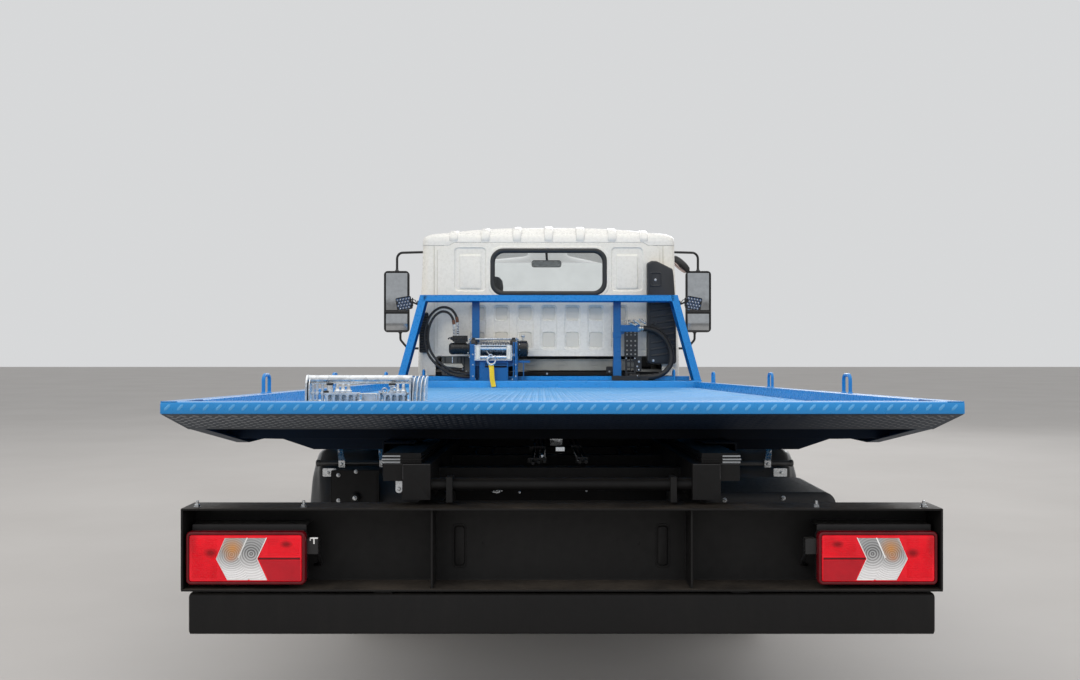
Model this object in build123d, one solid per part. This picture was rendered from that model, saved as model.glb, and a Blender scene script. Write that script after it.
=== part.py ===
from build123d import *
import math
import os

# Flatbed tow truck. Millimetres. +X right, +Y forwards, +Z up, Z = 0 is the ground.
# s is the distance ahead of the deck's rear edge; Y = s - S0.
# The bed, the tilting frame and the ladder frame slope down forwards by RAKE: those
# pieces are drawn in bed coordinates (u along the bed, w above its plate) and placed by RAKED.

LENGTH = 7800.0                 # deck's rear edge to the front bumper
S0 = LENGTH / 2
RAKE = 1.4                      # degrees
DECK_Z0 = 1173.0                # top of the bed's plate at its rear edge
DECK_HALF = 1200.0
DECK_LEN = 5740.0               # to the front lip
FRONT_END = 5950.0              # front of the platform that carries the winch
RAIL_TOP = 47.0                 # side rail above the plate
RAIL_LOW = -129.0
BEAM_X = 612.0                  # outer face of the bed's main beams

TYRE_R, TYRE_W, RIM_R = 385.0, 205.0, 222.5
REAR_S, FRONT_S = 2500.0, 6650.0
TWIN_IN, TWIN_OUT, FRONT_X, KING_X = 680.0, 930.0, 860.0, 720.0

FR_OUT, FR_IN, FR_TOP, FR_LOW = 455.0, 385.0, -282.0, -472.0
TILT_U, TILT_W = 200.0, -218.0  # tilting frame's hinge, in bed coordinates
CYL_X = 300.0
CYL_LOW = (1250.0, 420.0)       # s, z of the lower pin
CYL_TOP = (1350.0, 900.0)       # s, z of the rod's eye

CAB_BACK = 6040.0

RAKED = Location((0, -S0, DECK_Z0), (-RAKE, 0, 0)) * Location((0, S0, 0))
_th = math.radians(RAKE)


def world(u, w):
    """Bed coordinates to s, z."""
    return (u * math.cos(_th) + w * math.sin(_th), DECK_Z0 - u * math.sin(_th) + w * math.cos(_th))


# ------------------------------------------------------------------ helpers
def bx(x0, x1, s0, s1, z0, z1):
    return Pos((x0 + x1) / 2, (s0 + s1) / 2 - S0, (z0 + z1) / 2) * Box(x1 - x0, s1 - s0, z1 - z0)


def rbx(x0, x1, s0, s1, z0, z1, r, axis=Axis.Y):
    b = bx(x0, x1, s0, s1, z0, z1)
    return fillet(b.edges().filter_by(axis), r)


def cx(x0, x1, s, z, r):
    return Pos((x0 + x1) / 2, s - S0, z) * Rot(0, 90, 0) * Cylinder(r, abs(x1 - x0))


def cy(x, s0, s1, z, r):
    return Pos(x, (s0 + s1) / 2 - S0, z) * Rot(90, 0, 0) * Cylinder(r, abs(s1 - s0))


def cz(x, s, z0, z1, r):
    return Pos(x, s - S0, (z0 + z1) / 2) * Cylinder(r, abs(z1 - z0))


def prism(axis, pts, lo, hi):
    """pts are (s, z) for axis x, (x, z) for axis y and (x, s) for axis z."""
    if axis == "x":
        p = [Vector(lo, a - S0, b) for a, b in pts]
        d = Vector(hi - lo, 0, 0)
    elif axis == "y":
        p = [Vector(a, lo - S0, b) for a, b in pts]
        d = Vector(0, hi - lo, 0)
    else:
        p = [Vector(a, b - S0, lo) for a, b in pts]
        d = Vector(0, 0, hi - lo)
    f = Face(Wire.make_polygon(p, close=True))
    return Part() + Solid.extrude(f, d)


def mirror_x(shape):
    return mirror(shape, about=Plane.YZ)


def both(shape):
    return [shape, mirror_x(shape)]


def route(points, radii):
    """Straight runs joined by tangent arcs through (x, s, z) points."""
    p = [Vector(x, s - S0, z) for x, s, z in points]
    if len(p) == 2:
        return Wire([Edge.make_line(p[0], p[1])])
    return FilletPolyline(*p, radius=radii)


def tube(points, radii, r):
    line = route(points, radii)
    edges = line.edges()
    start = line @ 0
    direction = line % 0
    prof = Plane(origin=start, z_dir=direction) * Circle(r)
    return Part() + sweep(prof, path=line)


def cord_tube(name, points, r):
    """A cord's tube: each arc as large as its two runs allow."""
    radii = []
    for i in range(1, len(points) - 1):
        a, b, c = (Vector(*points[i - 1]), Vector(*points[i]), Vector(*points[i + 1]))
        run = min((b - a).length, (c - b).length)
        turn = math.radians((b - a).get_angle(c - b))
        radii.append(0.45 * run / math.tan(turn / 2))
    t = tube(points, radii, r)
    line = route(points, radii)
    print(f"{name}: length {line.length:.0f} mm, least radius {min(radii):.0f} mm,"
          f" volume ratio {t.volume / (math.pi * r * r * line.length):.3f}")
    return t


def flat(items):
    out = []
    for i in items:
        if isinstance(i, (list, tuple)):
            out += flat(i)
        else:
            out += i.solids()
    return out


os.makedirs("parts", exist_ok=True)


def save(node, *items, raked=False):
    parts = flat(items)
    if raked:
        parts = [p.moved(RAKED) for p in parts]
    c = Compound(parts)
    c.label = node
    export_step(c, f"parts/{node}.step")
    return parts


def fuse(*items):
    out = Part()
    for i in flat(items):
        out = out + i
    return out


# ------------------------------------------------------------------ ladder frame (bed coordinates)
rail = prism("y", [(FR_OUT, FR_TOP), (FR_IN, FR_TOP), (FR_IN, FR_TOP - 7), (FR_OUT - 7, FR_TOP - 7),
                   (FR_OUT - 7, FR_LOW + 7), (FR_IN, FR_LOW + 7), (FR_IN, FR_LOW), (FR_OUT, FR_LOW)], 256, 7560)
save("frame_rails", both(rail), raked=True)

# columns: centre u, length along u
CROSS = [(297, 60), (900, 60), (1120, 70), (1700, 60), (2200, 60), (2850, 60), (3550, 60), (4280, 60),
         (5000, 60), (5700, 60), (7050, 60), (7500, 60)]
cross = [bx(-FR_OUT + 7, FR_OUT - 7, u - n / 2, u + n / 2, FR_LOW + 14, FR_TOP - 18) for u, n in CROSS]
ears = [both(prism("x", [(165, -274), (165, -193), (235, -193), (330, -300), (262, -300), (262, -274)], 340, 360)
             - cx(330, 370, TILT_U, TILT_W, 20.1))]
cross[0] = fuse(cross[0], ears)
low_u, low_w = CYL_LOW[0], CYL_LOW[1]
# hangers of the tilt cylinders' lower pins, under the third crossmember
hang = []
for x in (CYL_X - 58, CYL_X + 48):
    hang.append(prism("x", [(1088, -458), (1150, -458), (1312, -690), (1312, -760), (1225, -760), (1088, -600)],
                      x, x + 10))
hang = fuse(hang)
hang = fuse(hang, mirror_x(hang))
cross[2] = fuse(cross[2], hang)
# blocks that the tilting frame comes down on
rests = [both(bx(410, 452, u, u + 120, FR_TOP, -264.5)) for u in (1650, 3500, 5300)]
cross_w = [c.moved(RAKED) for c in flat([cross])]
for p in both(Part() + cx(CYL_X - 52, CYL_X + 52, low_u, low_w, 15.0)):
    cross_w[2] = Part() + cross_w[2] + p
save("frame_crossmembers", cross_w, [r.moved(RAKED) for r in flat(rests)])

# ------------------------------------------------------------------ axles and springs
beam = prism("y", [(-700, 435), (-600, 435), (-500, 370), (500, 370), (600, 435), (700, 435), (700, 335),
                   (600, 335), (520, 290), (-520, 290), (-600, 335), (-700, 335)], FRONT_S - 35, FRONT_S + 35)
seat_f = [both(bx(385, 455, FRONT_S - 60, FRONT_S + 60, 340, 392))]
boss = [both(cz(KING_X, FRONT_S, 335, 435, 32))]
front_axle = fuse(beam, seat_f, boss)
for x in (KING_X, -KING_X):
    front_axle = front_axle - cz(x, FRONT_S, 300, 470, 15.1)
save("front_axle", front_axle)

rear_axle = fuse(cx(-530, 530, REAR_S, 385, 60), cx(-115, 115, REAR_S, 385, 165), cx(-210, 210, REAR_S, 385, 100),
                 both(bx(385, 455, REAR_S - 60, REAR_S + 60, 385, 458)), both(cx(515, 533, REAR_S, 385, 150)),
                 both(cx(530, 885, REAR_S, 385, 40)), cy(0, REAR_S + 100, REAR_S + 260, 400, 60))
save("rear_axle", rear_axle)


def spring(s0, z0, s1, z1, sm, zm, thick):
    """Leaf pack: ends at (s0, z0) and (s1, z1), seat at (sm, zm)."""
    return prism("x", [(s0, z0), (sm - 80, zm), (sm + 80, zm), (s1, z1), (s1, z1 + 14), (sm + 230, zm + thick * .72),
                       (sm + 80, zm + thick), (sm - 80, zm + thick), (sm - 230, zm + thick * .72), (s0, z0 + 14)],
                 387, 453)


rs = fuse(spring(1880, 586, 3120, 566, REAR_S, 458, 72), bx(392, 448, 1880, 1935, 590, 668),
          bx(392, 448, 3065, 3120, 570, 640))
fs = fuse(spring(6080, 500, 7250, 480, FRONT_S, 392, 46), bx(392, 448, 6080, 6130, 505, 580),
          bx(392, 448, 7200, 7250, 485, 560))
frame_block = bx(FR_IN - 20, FR_OUT + 5, 200, 7600, FR_LOW, FR_TOP).moved(RAKED)
rs, fs = rs - frame_block, fs - frame_block
save("leaf_springs", both(rs), both(fs))

# ------------------------------------------------------------------ wheels
def tyre(x):
    """Tyre ring with rounded shoulders, centred on x, around the X axis."""
    h, sh = TYRE_W / 2, 38
    pts = [(-h + 12, RIM_R), (h - 12, RIM_R), (h, RIM_R + 45), (h, TYRE_R - sh), (h - sh * .45, TYRE_R - 8),
           (h - sh, TYRE_R), (-h + sh, TYRE_R), (-h + sh * .45, TYRE_R - 8), (-h, TYRE_R - sh), (-h, RIM_R + 45)]
    f = Face(Wire.make_polygon([Vector(x + a, 0, b) for a, b in pts], close=True))
    return Part() + revolve(f, axis=Axis((0, 0, 0), (1, 0, 0)), revolution_arc=360)


def ring(x0, x1, ro, ri):
    return Pos((x0 + x1) / 2, 0, 0) * Rot(0, 90, 0) * (Cylinder(ro, x1 - x0) - Cylinder(ri, x1 - x0 + 2))


def place(shape, s):
    return Pos(0, s - S0, TYRE_R) * shape


disc_holes = [Pos(0, 150 * math.sin(a), 150 * math.cos(a)) * Rot(0, 90, 0) * Cylinder(22, 400)
              for a in [math.radians(36 * 2 * k) for k in range(5)]]
rim_f = fuse(ring(FRONT_X - 92, FRONT_X + 92, RIM_R, RIM_R - 8), ring(898, 910, RIM_R - 7, 60), ring(800, 935, 80, 30.1))
rim_f = rim_f + Pos(932, 0, 0) * Rot(0, 90, 0) * Cylinder(80, 6)
for h in disc_holes:
    rim_f = rim_f - Pos(900, 0, 0) * h
rim_r = fuse(ring(TWIN_IN - 92, TWIN_IN + 92, RIM_R, RIM_R - 8), ring(TWIN_OUT - 92, TWIN_OUT + 92, RIM_R, RIM_R - 8),
             ring(793, 817, RIM_R - 7, 60), ring(540, 985, 88, 40.1))
rim_r = rim_r + fuse(ring(540, 640, 165, 80), ring(TWIN_IN + 91, TWIN_OUT - 91, RIM_R - 2, RIM_R - 9),
                     Pos(982, 0, 0) * Rot(0, 90, 0) * Cylinder(88, 6))
for h in disc_holes:
    rim_r = rim_r - Pos(805, 0, 0) * h
ty_f = tyre(FRONT_X)
save("rim_front_right", place(rim_f, FRONT_S))
save("tyre_front_right", place(ty_f, FRONT_S))
save("rim_front_left", mirror_x(place(rim_f, FRONT_S)))
save("tyre_front_left", mirror_x(place(ty_f, FRONT_S)))
twin = [tyre(TWIN_IN), tyre(TWIN_OUT)]
save("rims_rear_right", place(rim_r, REAR_S))
save("tyres_rear_right", [place(t, REAR_S) for t in twin])
save("rims_rear_left", mirror_x(place(rim_r, REAR_S)))
save("tyres_rear_left", [mirror_x(place(t, REAR_S)) for t in twin])

# steering knuckle: fork on the kingpin, stub, arm to the track rod
ARM = 150.0
kn = fuse(bx(680, 790, FRONT_S - 38, FRONT_S + 38, 440, 462), bx(680, 790, FRONT_S - 38, FRONT_S + 38, 308, 330),
          bx(760, 790, FRONT_S - 38, FRONT_S + 38, 308, 462), cz(KING_X, FRONT_S, 308, 462, 15),
          cx(788, 905, FRONT_S, 385, 30), bx(700, 740, FRONT_S - ARM, FRONT_S - 30, 308, 330),
          cz(KING_X, FRONT_S - ARM, 308, 330, 24))
save("knuckle_right", kn)
save("knuckle_left", mirror_x(kn))
track = fuse(cx(-KING_X, KING_X, FRONT_S - ARM, 283, 14), both(cz(KING_X, FRONT_S - ARM, 262, 302, 22)))
save("track_rod", track)

# ------------------------------------------------------------------ power unit and tanks
save("engine_block", bx(-300, 300, 6060, 6950, 480, 1050))
save("propshaft", fuse(bx(-170, 170, 5750, 6060, 460, 735), cy(0, 2760, 5760, 470, 40)) -
     cy(0, REAR_S + 90, REAR_S + 260, 400, 60))
tank = fuse(rbx(-1040, -520, 3420, 4280, 450, 810, 55), bx(-525, -FR_OUT, 3500, 3560, 600, 720),
            bx(-525, -FR_OUT, 4140, 4200, 600, 720))
save("fuel_tank", tank)
save("equipment_boxes", fuse(bx(520, 980, 3420, 4000, 470, 760), bx(FR_OUT, 525, 3500, 3560, 600, 720),
                             bx(FR_OUT, 525, 3860, 3920, 600, 720)),
     fuse(rbx(560, 1070, 1000, 1500, 590, 820, 50), bx(FR_OUT, 562, 1050, 1110, 690, 770),
          bx(FR_OUT, 562, 1390, 1450, 690, 770)))
save("exhaust", fuse(cy(680, 4250, 5050, 560, 105), cy(680, 5040, 5700, 560, 38), cy(680, 4100, 4260, 560, 38),
                     bx(FR_OUT, 600, 4500, 4540, 575, 650), bx(FR_OUT, 600, 4900, 4940, 575, 650)))
guard = []
for z in (440, 660):
    guard.append(bx(1105, 1130, 3250, 5600, z, z + 110))
for s in (3300, 3860, 4340, 4940, 5520):
    guard.append(bx(1065, 1105, s, s + 40, 430, 780))
    if s != 3860:
        guard.append(bx(FR_OUT, 1105, s, s + 40, 690, 725))
guard = fuse(guard)

# ------------------------------------------------------------------ rear end
bump = fuse(bx(-1167, 1167, 236, 242, 633, 887), bx(-1167, 1167, 92, 242, 881, 887), bx(-1167, 1167, 92, 242, 633, 639),
            both(bx(1161, 1167, 92, 242, 633, 887)), both(bx(397, 403, 110, 240, 636, 884)),
            both(bx(FR_OUT, 467, 241, 520, 670, 876)))
save("rear_bumper", bump)
underrun = fuse(bx(-1145, 1145, 98, 200, 500, 625), both(bx(520, 580, 110, 190, 620, 633)))
save("underrun_guards", underrun, both(guard))
lamp = fuse(rbx(786, 1154, 96, 160, 651, 816, 14), bx(880, 1060, 155, 236, 690, 780))
head = rbx(700, 1000, 7762, 7790, 705, 860, 12)
save("road_lamps", both(lamp), both(head))

guardline = [(1850, 640), (1905, 765), (2095, 882), (2905, 866), (3095, 755), (3150, 640), (3145, 640), (3091, 751),
             (2903, 861), (2096, 877), (1909, 761), (1856, 640)]
mud = fuse(prism("x", guardline, 622, 1120), cx(FR_OUT, 1090, 2030, 824, 13.5), cx(FR_OUT, 1090, 2970, 808, 13.5))
save("rear_mudguards", both(mud))

# ------------------------------------------------------------------ tilting frame (bed coordinates)
tb = [both(bx(408, 496, 160, 5900, -264, -152)), both(bx(495, 557, 170, 5890, -206, -151)),
      both(bx(440, 557, 180, 5880, -152, -120))]
TILT_CROSS = [520, 1100, 1560, 2220, 2900, 3580, 4260, 4940, 5620]
tc = [bx(-410, 410, u - 40, u + 40, -264, -190) for u in TILT_CROSS]
lugs = []
eye_u, eye_w = 1350.0, -240.0   # the rod's eye at rest, checked below
for x in (CYL_X - 38, CYL_X + 28):
    lugs.append(prism("x", [(1322, -268), (1322, -205), (1525, -192), (1525, -262)], x, x + 10))
lugs = [both(fuse(lugs))]
ex, ez = CYL_TOP
# rod's eye in bed coordinates
eu = ex * math.cos(_th) - (ez - DECK_Z0) * math.sin(_th)
ew = ex * math.sin(_th) + (ez - DECK_Z0) * math.cos(_th)
tilt = fuse(tb, tc, lugs, cx(-410, 410, TILT_U, TILT_W, 20.0), both(cx(CYL_X - 38, CYL_X + 38, eu, ew, 14)))
save("tilt_frame", tilt, raked=True)
print("tilt hinge s,z", world(TILT_U, TILT_W), "rod eye u,w", eu, ew)

# slide cylinder: barrel on the tilting frame, rod on the bed
SLIDE_W = -150.0
barrel = cy(0, 1550, 5720, SLIDE_W, 34) - cy(0, 1540, 5690, SLIDE_W, 17)
saddles = [bx(-22, 22, u - 30, u + 30, -190, -180) for u in TILT_CROSS if u > 1600] + [bx(-22, 22, 1560, 1600, -190, -180)]
saddles = fuse(saddles) - cy(0, 1500, 5800, SLIDE_W, 33)
save("slide_cylinder", fuse(barrel, saddles), raked=True)
rod = fuse(cy(0, 1425, 5660, SLIDE_W, 16), bx(-25, 25, 1396, 1444, -174, -109))
save("slide_cylinder_rod", rod, raked=True)

# tilt cylinders, leaning forwards
dy, dz = CYL_TOP[0] - CYL_LOW[0], CYL_TOP[1] - CYL_LOW[1]
CYL_LEN = math.hypot(dy, dz)
LEAN = math.degrees(math.atan2(dy, dz))
cloc = Location((CYL_X, CYL_LOW[0] - S0, CYL_LOW[1]), (-LEAN, 0, 0))


def along(z0, z1, r):
    return Pos(0, 0, (z0 + z1) / 2) * Cylinder(r, z1 - z0)


cb = fuse(along(26, 400, 44), Rot(0, 90, 0) * Cylinder(32, 50)) - along(44, 384, 34) - along(380, 410, 25.3)
cb = cb - Rot(0, 90, 0) * Cylinder(15.1, 60)
cr = fuse(along(54, CYL_LEN - 20, 25), Pos(0, 0, CYL_LEN) * Rot(0, 90, 0) * Cylinder(33, 46))
cr = cr - Pos(0, 0, CYL_LEN) * Rot(0, 90, 0) * Cylinder(21, 60)
cb, cr = cloc * cb, cloc * cr
save("tilt_cylinder_barrels", both(cb))
save("tilt_cylinder_rods", both(cr))
print("tilt cylinders: length", CYL_LEN, "lean", LEAN)

# ------------------------------------------------------------------ bed (bed coordinates)
tail = prism("x", [(0, 8), (0, 40), (8, RAIL_TOP), (60, RAIL_TOP), (250, 0), (275, 0), (275, -49)], -DECK_HALF, DECK_HALF)
floor = fuse(bx(-1194, 1194, 270, DECK_LEN, -4, 0), tail, bx(-DECK_HALF, DECK_HALF, DECK_LEN - 5, FRONT_END, -60, 54))
save("deck_floor", floor, raked=True)

# columns: centre u, depth at the outer end, depth inside
OUTRIG = [(760, -104, -108), (1420, -129, -190), (2110, -129, -190), (2800, -129, -190), (3490, -129, -190),
          (4180, -129, -190), (4870, -129, -190), (5560, -129, -190)]


def outrigger(u, do, di, t=50):
    pts = [(-1194, -4), (1194, -4), (1194, do), (1010, di), (BEAM_X, di), (BEAM_X, -109), (-BEAM_X, -109),
           (-BEAM_X, di), (-1010, di), (-1194, do)]
    if di > -109:
        pts = [(-1194, -4), (1194, -4), (1194, do), (1010, di), (-1010, di), (-1194, do)]
    return prism("y", pts, u - t / 2, u + t / 2)


outs = [outrigger(*row) for row in OUTRIG]
save("deck_crossmembers", outs, raked=True)
main = prism("y", [(BEAM_X, -109), (500, -109), (500, -115), (600, -115), (600, -216), (530, -216), (530, -224),
                   (BEAM_X, -224)], 560, 5735)
save("deck_beams", both(main), raked=True)

siderail = prism("y", [(1200, RAIL_TOP), (1200, RAIL_LOW), (1150, RAIL_LOW), (1150, RAIL_LOW + 6), (1194, RAIL_LOW + 6),
                       (1194, 41), (1156, 41), (1156, 0), (1150, 0), (1150, RAIL_TOP)], 275, DECK_LEN - 5)
siderail = siderail - prism("x", [(270, -48.5), (880, RAIL_LOW), (880, -300), (270, -300)], 1100, 1250)
siderail = siderail - bx(1100, 1194, 200, 5760, -4.5, 0)
for o in outs:
    siderail = siderail - o
# the U over the tail stays one solid per side
save("deck_side_rails", both(siderail), raked=True)


def loop(x, u, base, top):
    t = tube([(x, u - 50, base), (x, u - 50, top), (x, u + 50, top), (x, u + 50, base)], [22, 22], 7.5)
    return t


# columns: x, u, base w, top w (centre of the bar)
LOOPS = [(1175, 1250, RAIL_TOP, 120), (1175, 2830, RAIL_TOP, 120), (1175, 4930, RAIL_TOP, 120), (1000, 5895, 54, 138)]
save("tie_down_loops", [both(loop(*row)) for row in LOOPS], raked=True)

# ------------------------------------------------------------------ headboard (bed coordinates)
HB = DECK_LEN
leg = prism("y", [(1016, 731), (1200, 54), (1143, 54), (958, 731)], HB, 5940)
leg = leg & prism("x", [(HB, 54), (5940, 54), (5925, 731), (HB, 731)], 900, 1300)
top_bar = bx(-990, 990, HB, 5925, 682, 731)
posts = [bx(-614, -554, 5880, 5940, 54, 700), bx(517, 577, 5880, 5940, 54, 700)]
base_bar = bx(-1150, 1150, 5885, 5935, 54, 90)
bracket = bx(575, 730, 5885, 5935, 445, 500)
save("headboard", fuse(both(leg), top_bar, posts, base_bar, bracket) - bx(960, 1040, 5820, 5980, 0, 150)
     - bx(-1040, -960, 5820, 5980, 0, 150), raked=True)

# ------------------------------------------------------------------ winch (bed coordinates)
WS, WW = 5822.0, 322.0
wf = fuse(bx(-625, -617, 5768, 5878, 54, 372), bx(-255, -247, 5768, 5878, 54, 372), bx(-620, -250, 5768, 5774, 54, 214),
          bx(-620, -250, 5768, 5878, 208, 214), bx(-250, -150, 5810, 5870, 208, 214), bx(-205, -197, 5810, 5870, 54, 210))
wf = wf - bx(-560, -310, 5760, 5780, 120, 190)
for x in (-621, -251):
    wf = wf - cx(x - 8, x + 8, WS, WW, 31)
save("winch_frame", wf, raked=True)
winch = fuse(cx(-800, -625, WS, WW, 47), cx(-630, -240, WS, WW, 30), cx(-596, -584, WS, WW, 54), cx(-288, -276, WS, WW, 54),
             cx(-586, -286, WS, WW, 45), cx(-247, -161, WS, WW, 57), bx(-790, -690, 5790, 5860, WW + 40, WW + 92))
save("winch", winch, raked=True)
fair = fuse(bx(-585, -290, 5762, 5768, 214, 334), bx(-585, -290, 5730, 5766, 214, 222), bx(-585, -290, 5730, 5766, 326, 334),
            cz(-560, 5748, 218, 330, 16), cz(-315, 5748, 218, 330, 16), cx(-577, -298, 5750, 240, 13), cx(-577, -298, 5750, 308, 13))
fair = fair - bx(-543, -332, 5755, 5775, 254, 294)
save("winch_fairlead", fair, raked=True)
HKX, HKW, HKS = -450.0, 212.0, 5712.0
hook = cy(HKX, HKS - 8, HKS + 8, HKW, 40) - cy(HKX, HKS - 10, HKS + 10, HKW, 22)
hook = hook - bx(HKX + 8, HKX + 60, HKS - 20, HKS + 20, HKW + 4, HKW + 60)
hook = fuse(hook, prism("x", [(HKS - 8, HKW + 30), (HKS + 8, HKW + 30), (HKS + 20, HKW + 62), (HKS + 8, HKW + 70)], HKX - 12, HKX + 6),
            tube([(HKX, HKS + 8, HKW + 60), (HKX, WS - 40, WW - 36)], [], 5))
hook = hook - cx(-600, -280, WS, WW, 46.2)
save("winch_hook", hook, raked=True)
strap = prism("y", [(HKX - 18, 186), (HKX + 20, 186), (HKX + 34, 6), (HKX - 4, 6)], HKS - 3, HKS + 3)
save("tow_strap", strap - cy(HKX, HKS - 10, HKS + 10, HKW, 40.3), raked=True)

# ------------------------------------------------------------------ hoses (x, s, z), bed coordinates: u, w
HOSE_R = 10.0
HOSE_IN = [(-752, 5825, 414), (-752, 5825, 484), (-760, 5828, 546), (-794, 5831, 596), (-856, 5836, 610),
           (-920, 5840, 562), (-958, 5843, 475), (-965, 5845, 378), (-946, 5846, 290), (-894, 5848, 216),
           (-816, 5849, 154), (-723, 5850, 110), (-625, 5850, 110)]
HOSE_OUT = [(-724, 5825, 414), (-724, 5825, 494), (-734, 5828, 574), (-784, 5831, 634), (-868, 5836, 642),
            (-944, 5840, 582), (-985, 5843, 481), (-993, 5845, 376), (-972, 5846, 278), (-914, 5848, 196),
            (-828, 5849, 130), (-731, 5850, 84), (-625, 5850, 84)]
save("hose_inner", cord_tube("hose_inner", HOSE_IN, HOSE_R), raked=True)
save("hose_outer", cord_tube("hose_outer", HOSE_OUT, HOSE_R), raked=True)
COND_R = 21.0
CONDUIT = [(730, 5905, 472), (806, 5905, 472), (884, 5892, 440), (946, 5878, 372), (980, 5864, 282), (980, 5856, 192),
           (932, 5852, 122), (846, 5850, 80), (712, 5850, 80)]
save("conduit", cord_tube("conduit", CONDUIT, COND_R), raked=True)
carrier = fuse(bx(605, 705, 5885, 5925, 250, 444), bx(612, 628, 5890, 5920, 90, 252), bx(682, 698, 5890, 5920, 90, 252),
               [bx(612, 698, 5890, 5920, w, w + 12) for w in (110, 155, 200)],
               bx(640, 712, 5834, 5884, 54, 102), bx(612, 698, 5880, 5900, 91, 102))
save("hose_carrier", carrier, raked=True)

work = fuse(rbx(1070, 1222, 5752, 5812, 608, 722, 12), bx(1012, 1080, 5775, 5795, 650, 662))
work = work - leg
save("work_lamps", both(work), raked=True)

# galvanised wheel skate lying on the plate at the left rear
skate = fuse(bx(-860, -460, 400, 560, 0, 6), cx(-850, -500, 480, 102, 20), bx(-850, -842, 430, 530, 4, 102),
             [bx(x, x + 6, 420, 540, 4, 96) for x in (-560, -535, -510, -485)],
             [cz(x, 480, 4, 92, 11) for x in (-800, -750, -700, -650, -600)])
save("wheel_skate", skate, raked=True)

# ------------------------------------------------------------------ cab
OUT_S = [(CAB_BACK, 1120), (CAB_BACK, 2190), (6120, 2300), (7250, 2300), (7370, 2230), (7690, 1400), (7755, 1250),
         (7760, 790), (7090, 790), (7090, 860), (6560, 860), (6400, 1120)]
IN_S = [(6080, 600), (6080, 2172), (6138, 2260), (7238, 2260), (7336, 2203), (7652, 1385), (7715, 1240), (7720, 600)]
OUT_X = [(1065, 600), (1065, 1300), (1022, 2190), (940, 2300)]
IN_X = [(1025, 600), (1025, 1300), (983, 2172), (915, 2260)]


def sym(pts):
    return pts + [(-x, z) for x, z in reversed(pts)]


cab_outer = prism("x", OUT_S, -1100, 1100) & prism("y", sym(OUT_X), 6000, 7800)
cab_inner = prism("x", IN_S, -1100, 1100) & prism("y", sym(IN_X), 6000, 7800)
shell = cab_outer - cab_inner
RW = (-460, 460, 1782, 2139)    # rear window
rear_cut = rbx(RW[0], RW[1], 6030, 6100, RW[2], RW[3], 80)
WS_LOW, WS_HIGH = 1450, 2150
screen_cut = bx(-925, 925, 7300, 7800, WS_LOW, WS_HIGH)
DOOR = [(6600, 870), (7500, 870), (7560, 1330), (7555, 1380), (7270, 2120), (6600, 2120)]
DOOR_GAP = [(6592, 700), (7506, 700), (7567, 1328), (7562, 1384), (7274, 2126), (6592, 2126)]
PANE = [(6690, 1440), (7465, 1440), (7232, 2050), (6690, 2050)]
rest = shell - rear_cut - screen_cut - bx(-920, 920, 6000, 6079, 1000, 1278)
for lo, hi in ((900, 1200), (-1200, -900)):
    rest = rest - prism("x", DOOR_GAP, lo, hi)
roof = rest & bx(-1200, 1200, 6000, 7800, 2150, 2400)
back = rest & bx(-1200, 1200, 6000, 6140, 700, 2150)
front = rest & bx(-1200, 1200, 7276, 7800, 700, 2150)
sides = rest & bx(-1200, 1200, 6140, 7276, 700, 2150)
save("cab_roof", roof)
save("cab_back_panel", back)
save("cab_front_panel", front)
save("cab_side_panels", sides)
save("cab_floor", prism("x", [(7715, 800), (7715, 830), (7120, 830), (7120, 1150), (6080, 1150), (6080, 1120),
                              (7090, 1120), (7090, 800)], -1015, 1015))


def line_s(z):
    return 7690 - (z - 1400) * 320 / 830


screen = prism("x", [(line_s(WS_LOW) - 12, WS_LOW), (line_s(WS_HIGH) - 12, WS_HIGH), (line_s(WS_HIGH) - 18, WS_HIGH),
                     (line_s(WS_LOW) - 18, WS_LOW)], -925, 925)
rear_glass = rbx(RW[0], RW[1], 6056, 6061, RW[2], RW[3], 80)
save("cab_glass", screen, rear_glass)

door = (shell & prism("x", DOOR, 900, 1200)) - prism("x", PANE, 900, 1200)
mid = [(x - 16, z) for x, z in OUT_X]
mid2 = [(x - 21, z) for x, z in OUT_X]
pane = (prism("y", sym(mid), 6000, 7800) - prism("y", sym(mid2), 5990, 7810)) & prism("x", PANE, 900, 1200)
save("door_right", door, pane)
save("door_left", mirror_x(door), mirror_x(pane))


def seat(x0, x1, heads):
    base = bx(x0, x1, 6330, 6850, 1150, 1340)
    b = prism("x", [(6150, 1250), (6370, 1250), (6300, 1765), (6190, 1765)], x0, x1)
    h = [bx(c - 140, c + 140, 6200, 6290, 1760, 1935) for c in heads]
    return fuse(base, b, h)


save("seats", seat(-760, -270, [-515]), seat(-190, 760, []))
dash = prism("x", [(7360, 1160), (7600, 1160), (7655, 1240), (7620, 1400), (7420, 1440), (7330, 1380)], -960, 960)
dash = dash & cab_inner
dash = fuse(dash, bx(-960, 960, 7400, 7560, 1100, 1200))
wheel_loc = Location((-515, 7150 - S0, 1470), (-62, 0, 0))
sw = fuse(Torus(200, 15), Cylinder(45, 40), Box(390, 34, 14), Pos(0, -100, 0) * Box(34, 190, 14))
col = Pos(0, 0, -115) * Cylinder(26, 210)
sw = wheel_loc * fuse(sw, col)
save("dashboard", dash, sw - dash)

snork = prism("y", [(786, 1215), (1029, 1215), (1029, 1935), (975, 2050), (800, 2050), (786, 2035)], 5956, CAB_BACK)
save("snorkel", snork)

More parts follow.
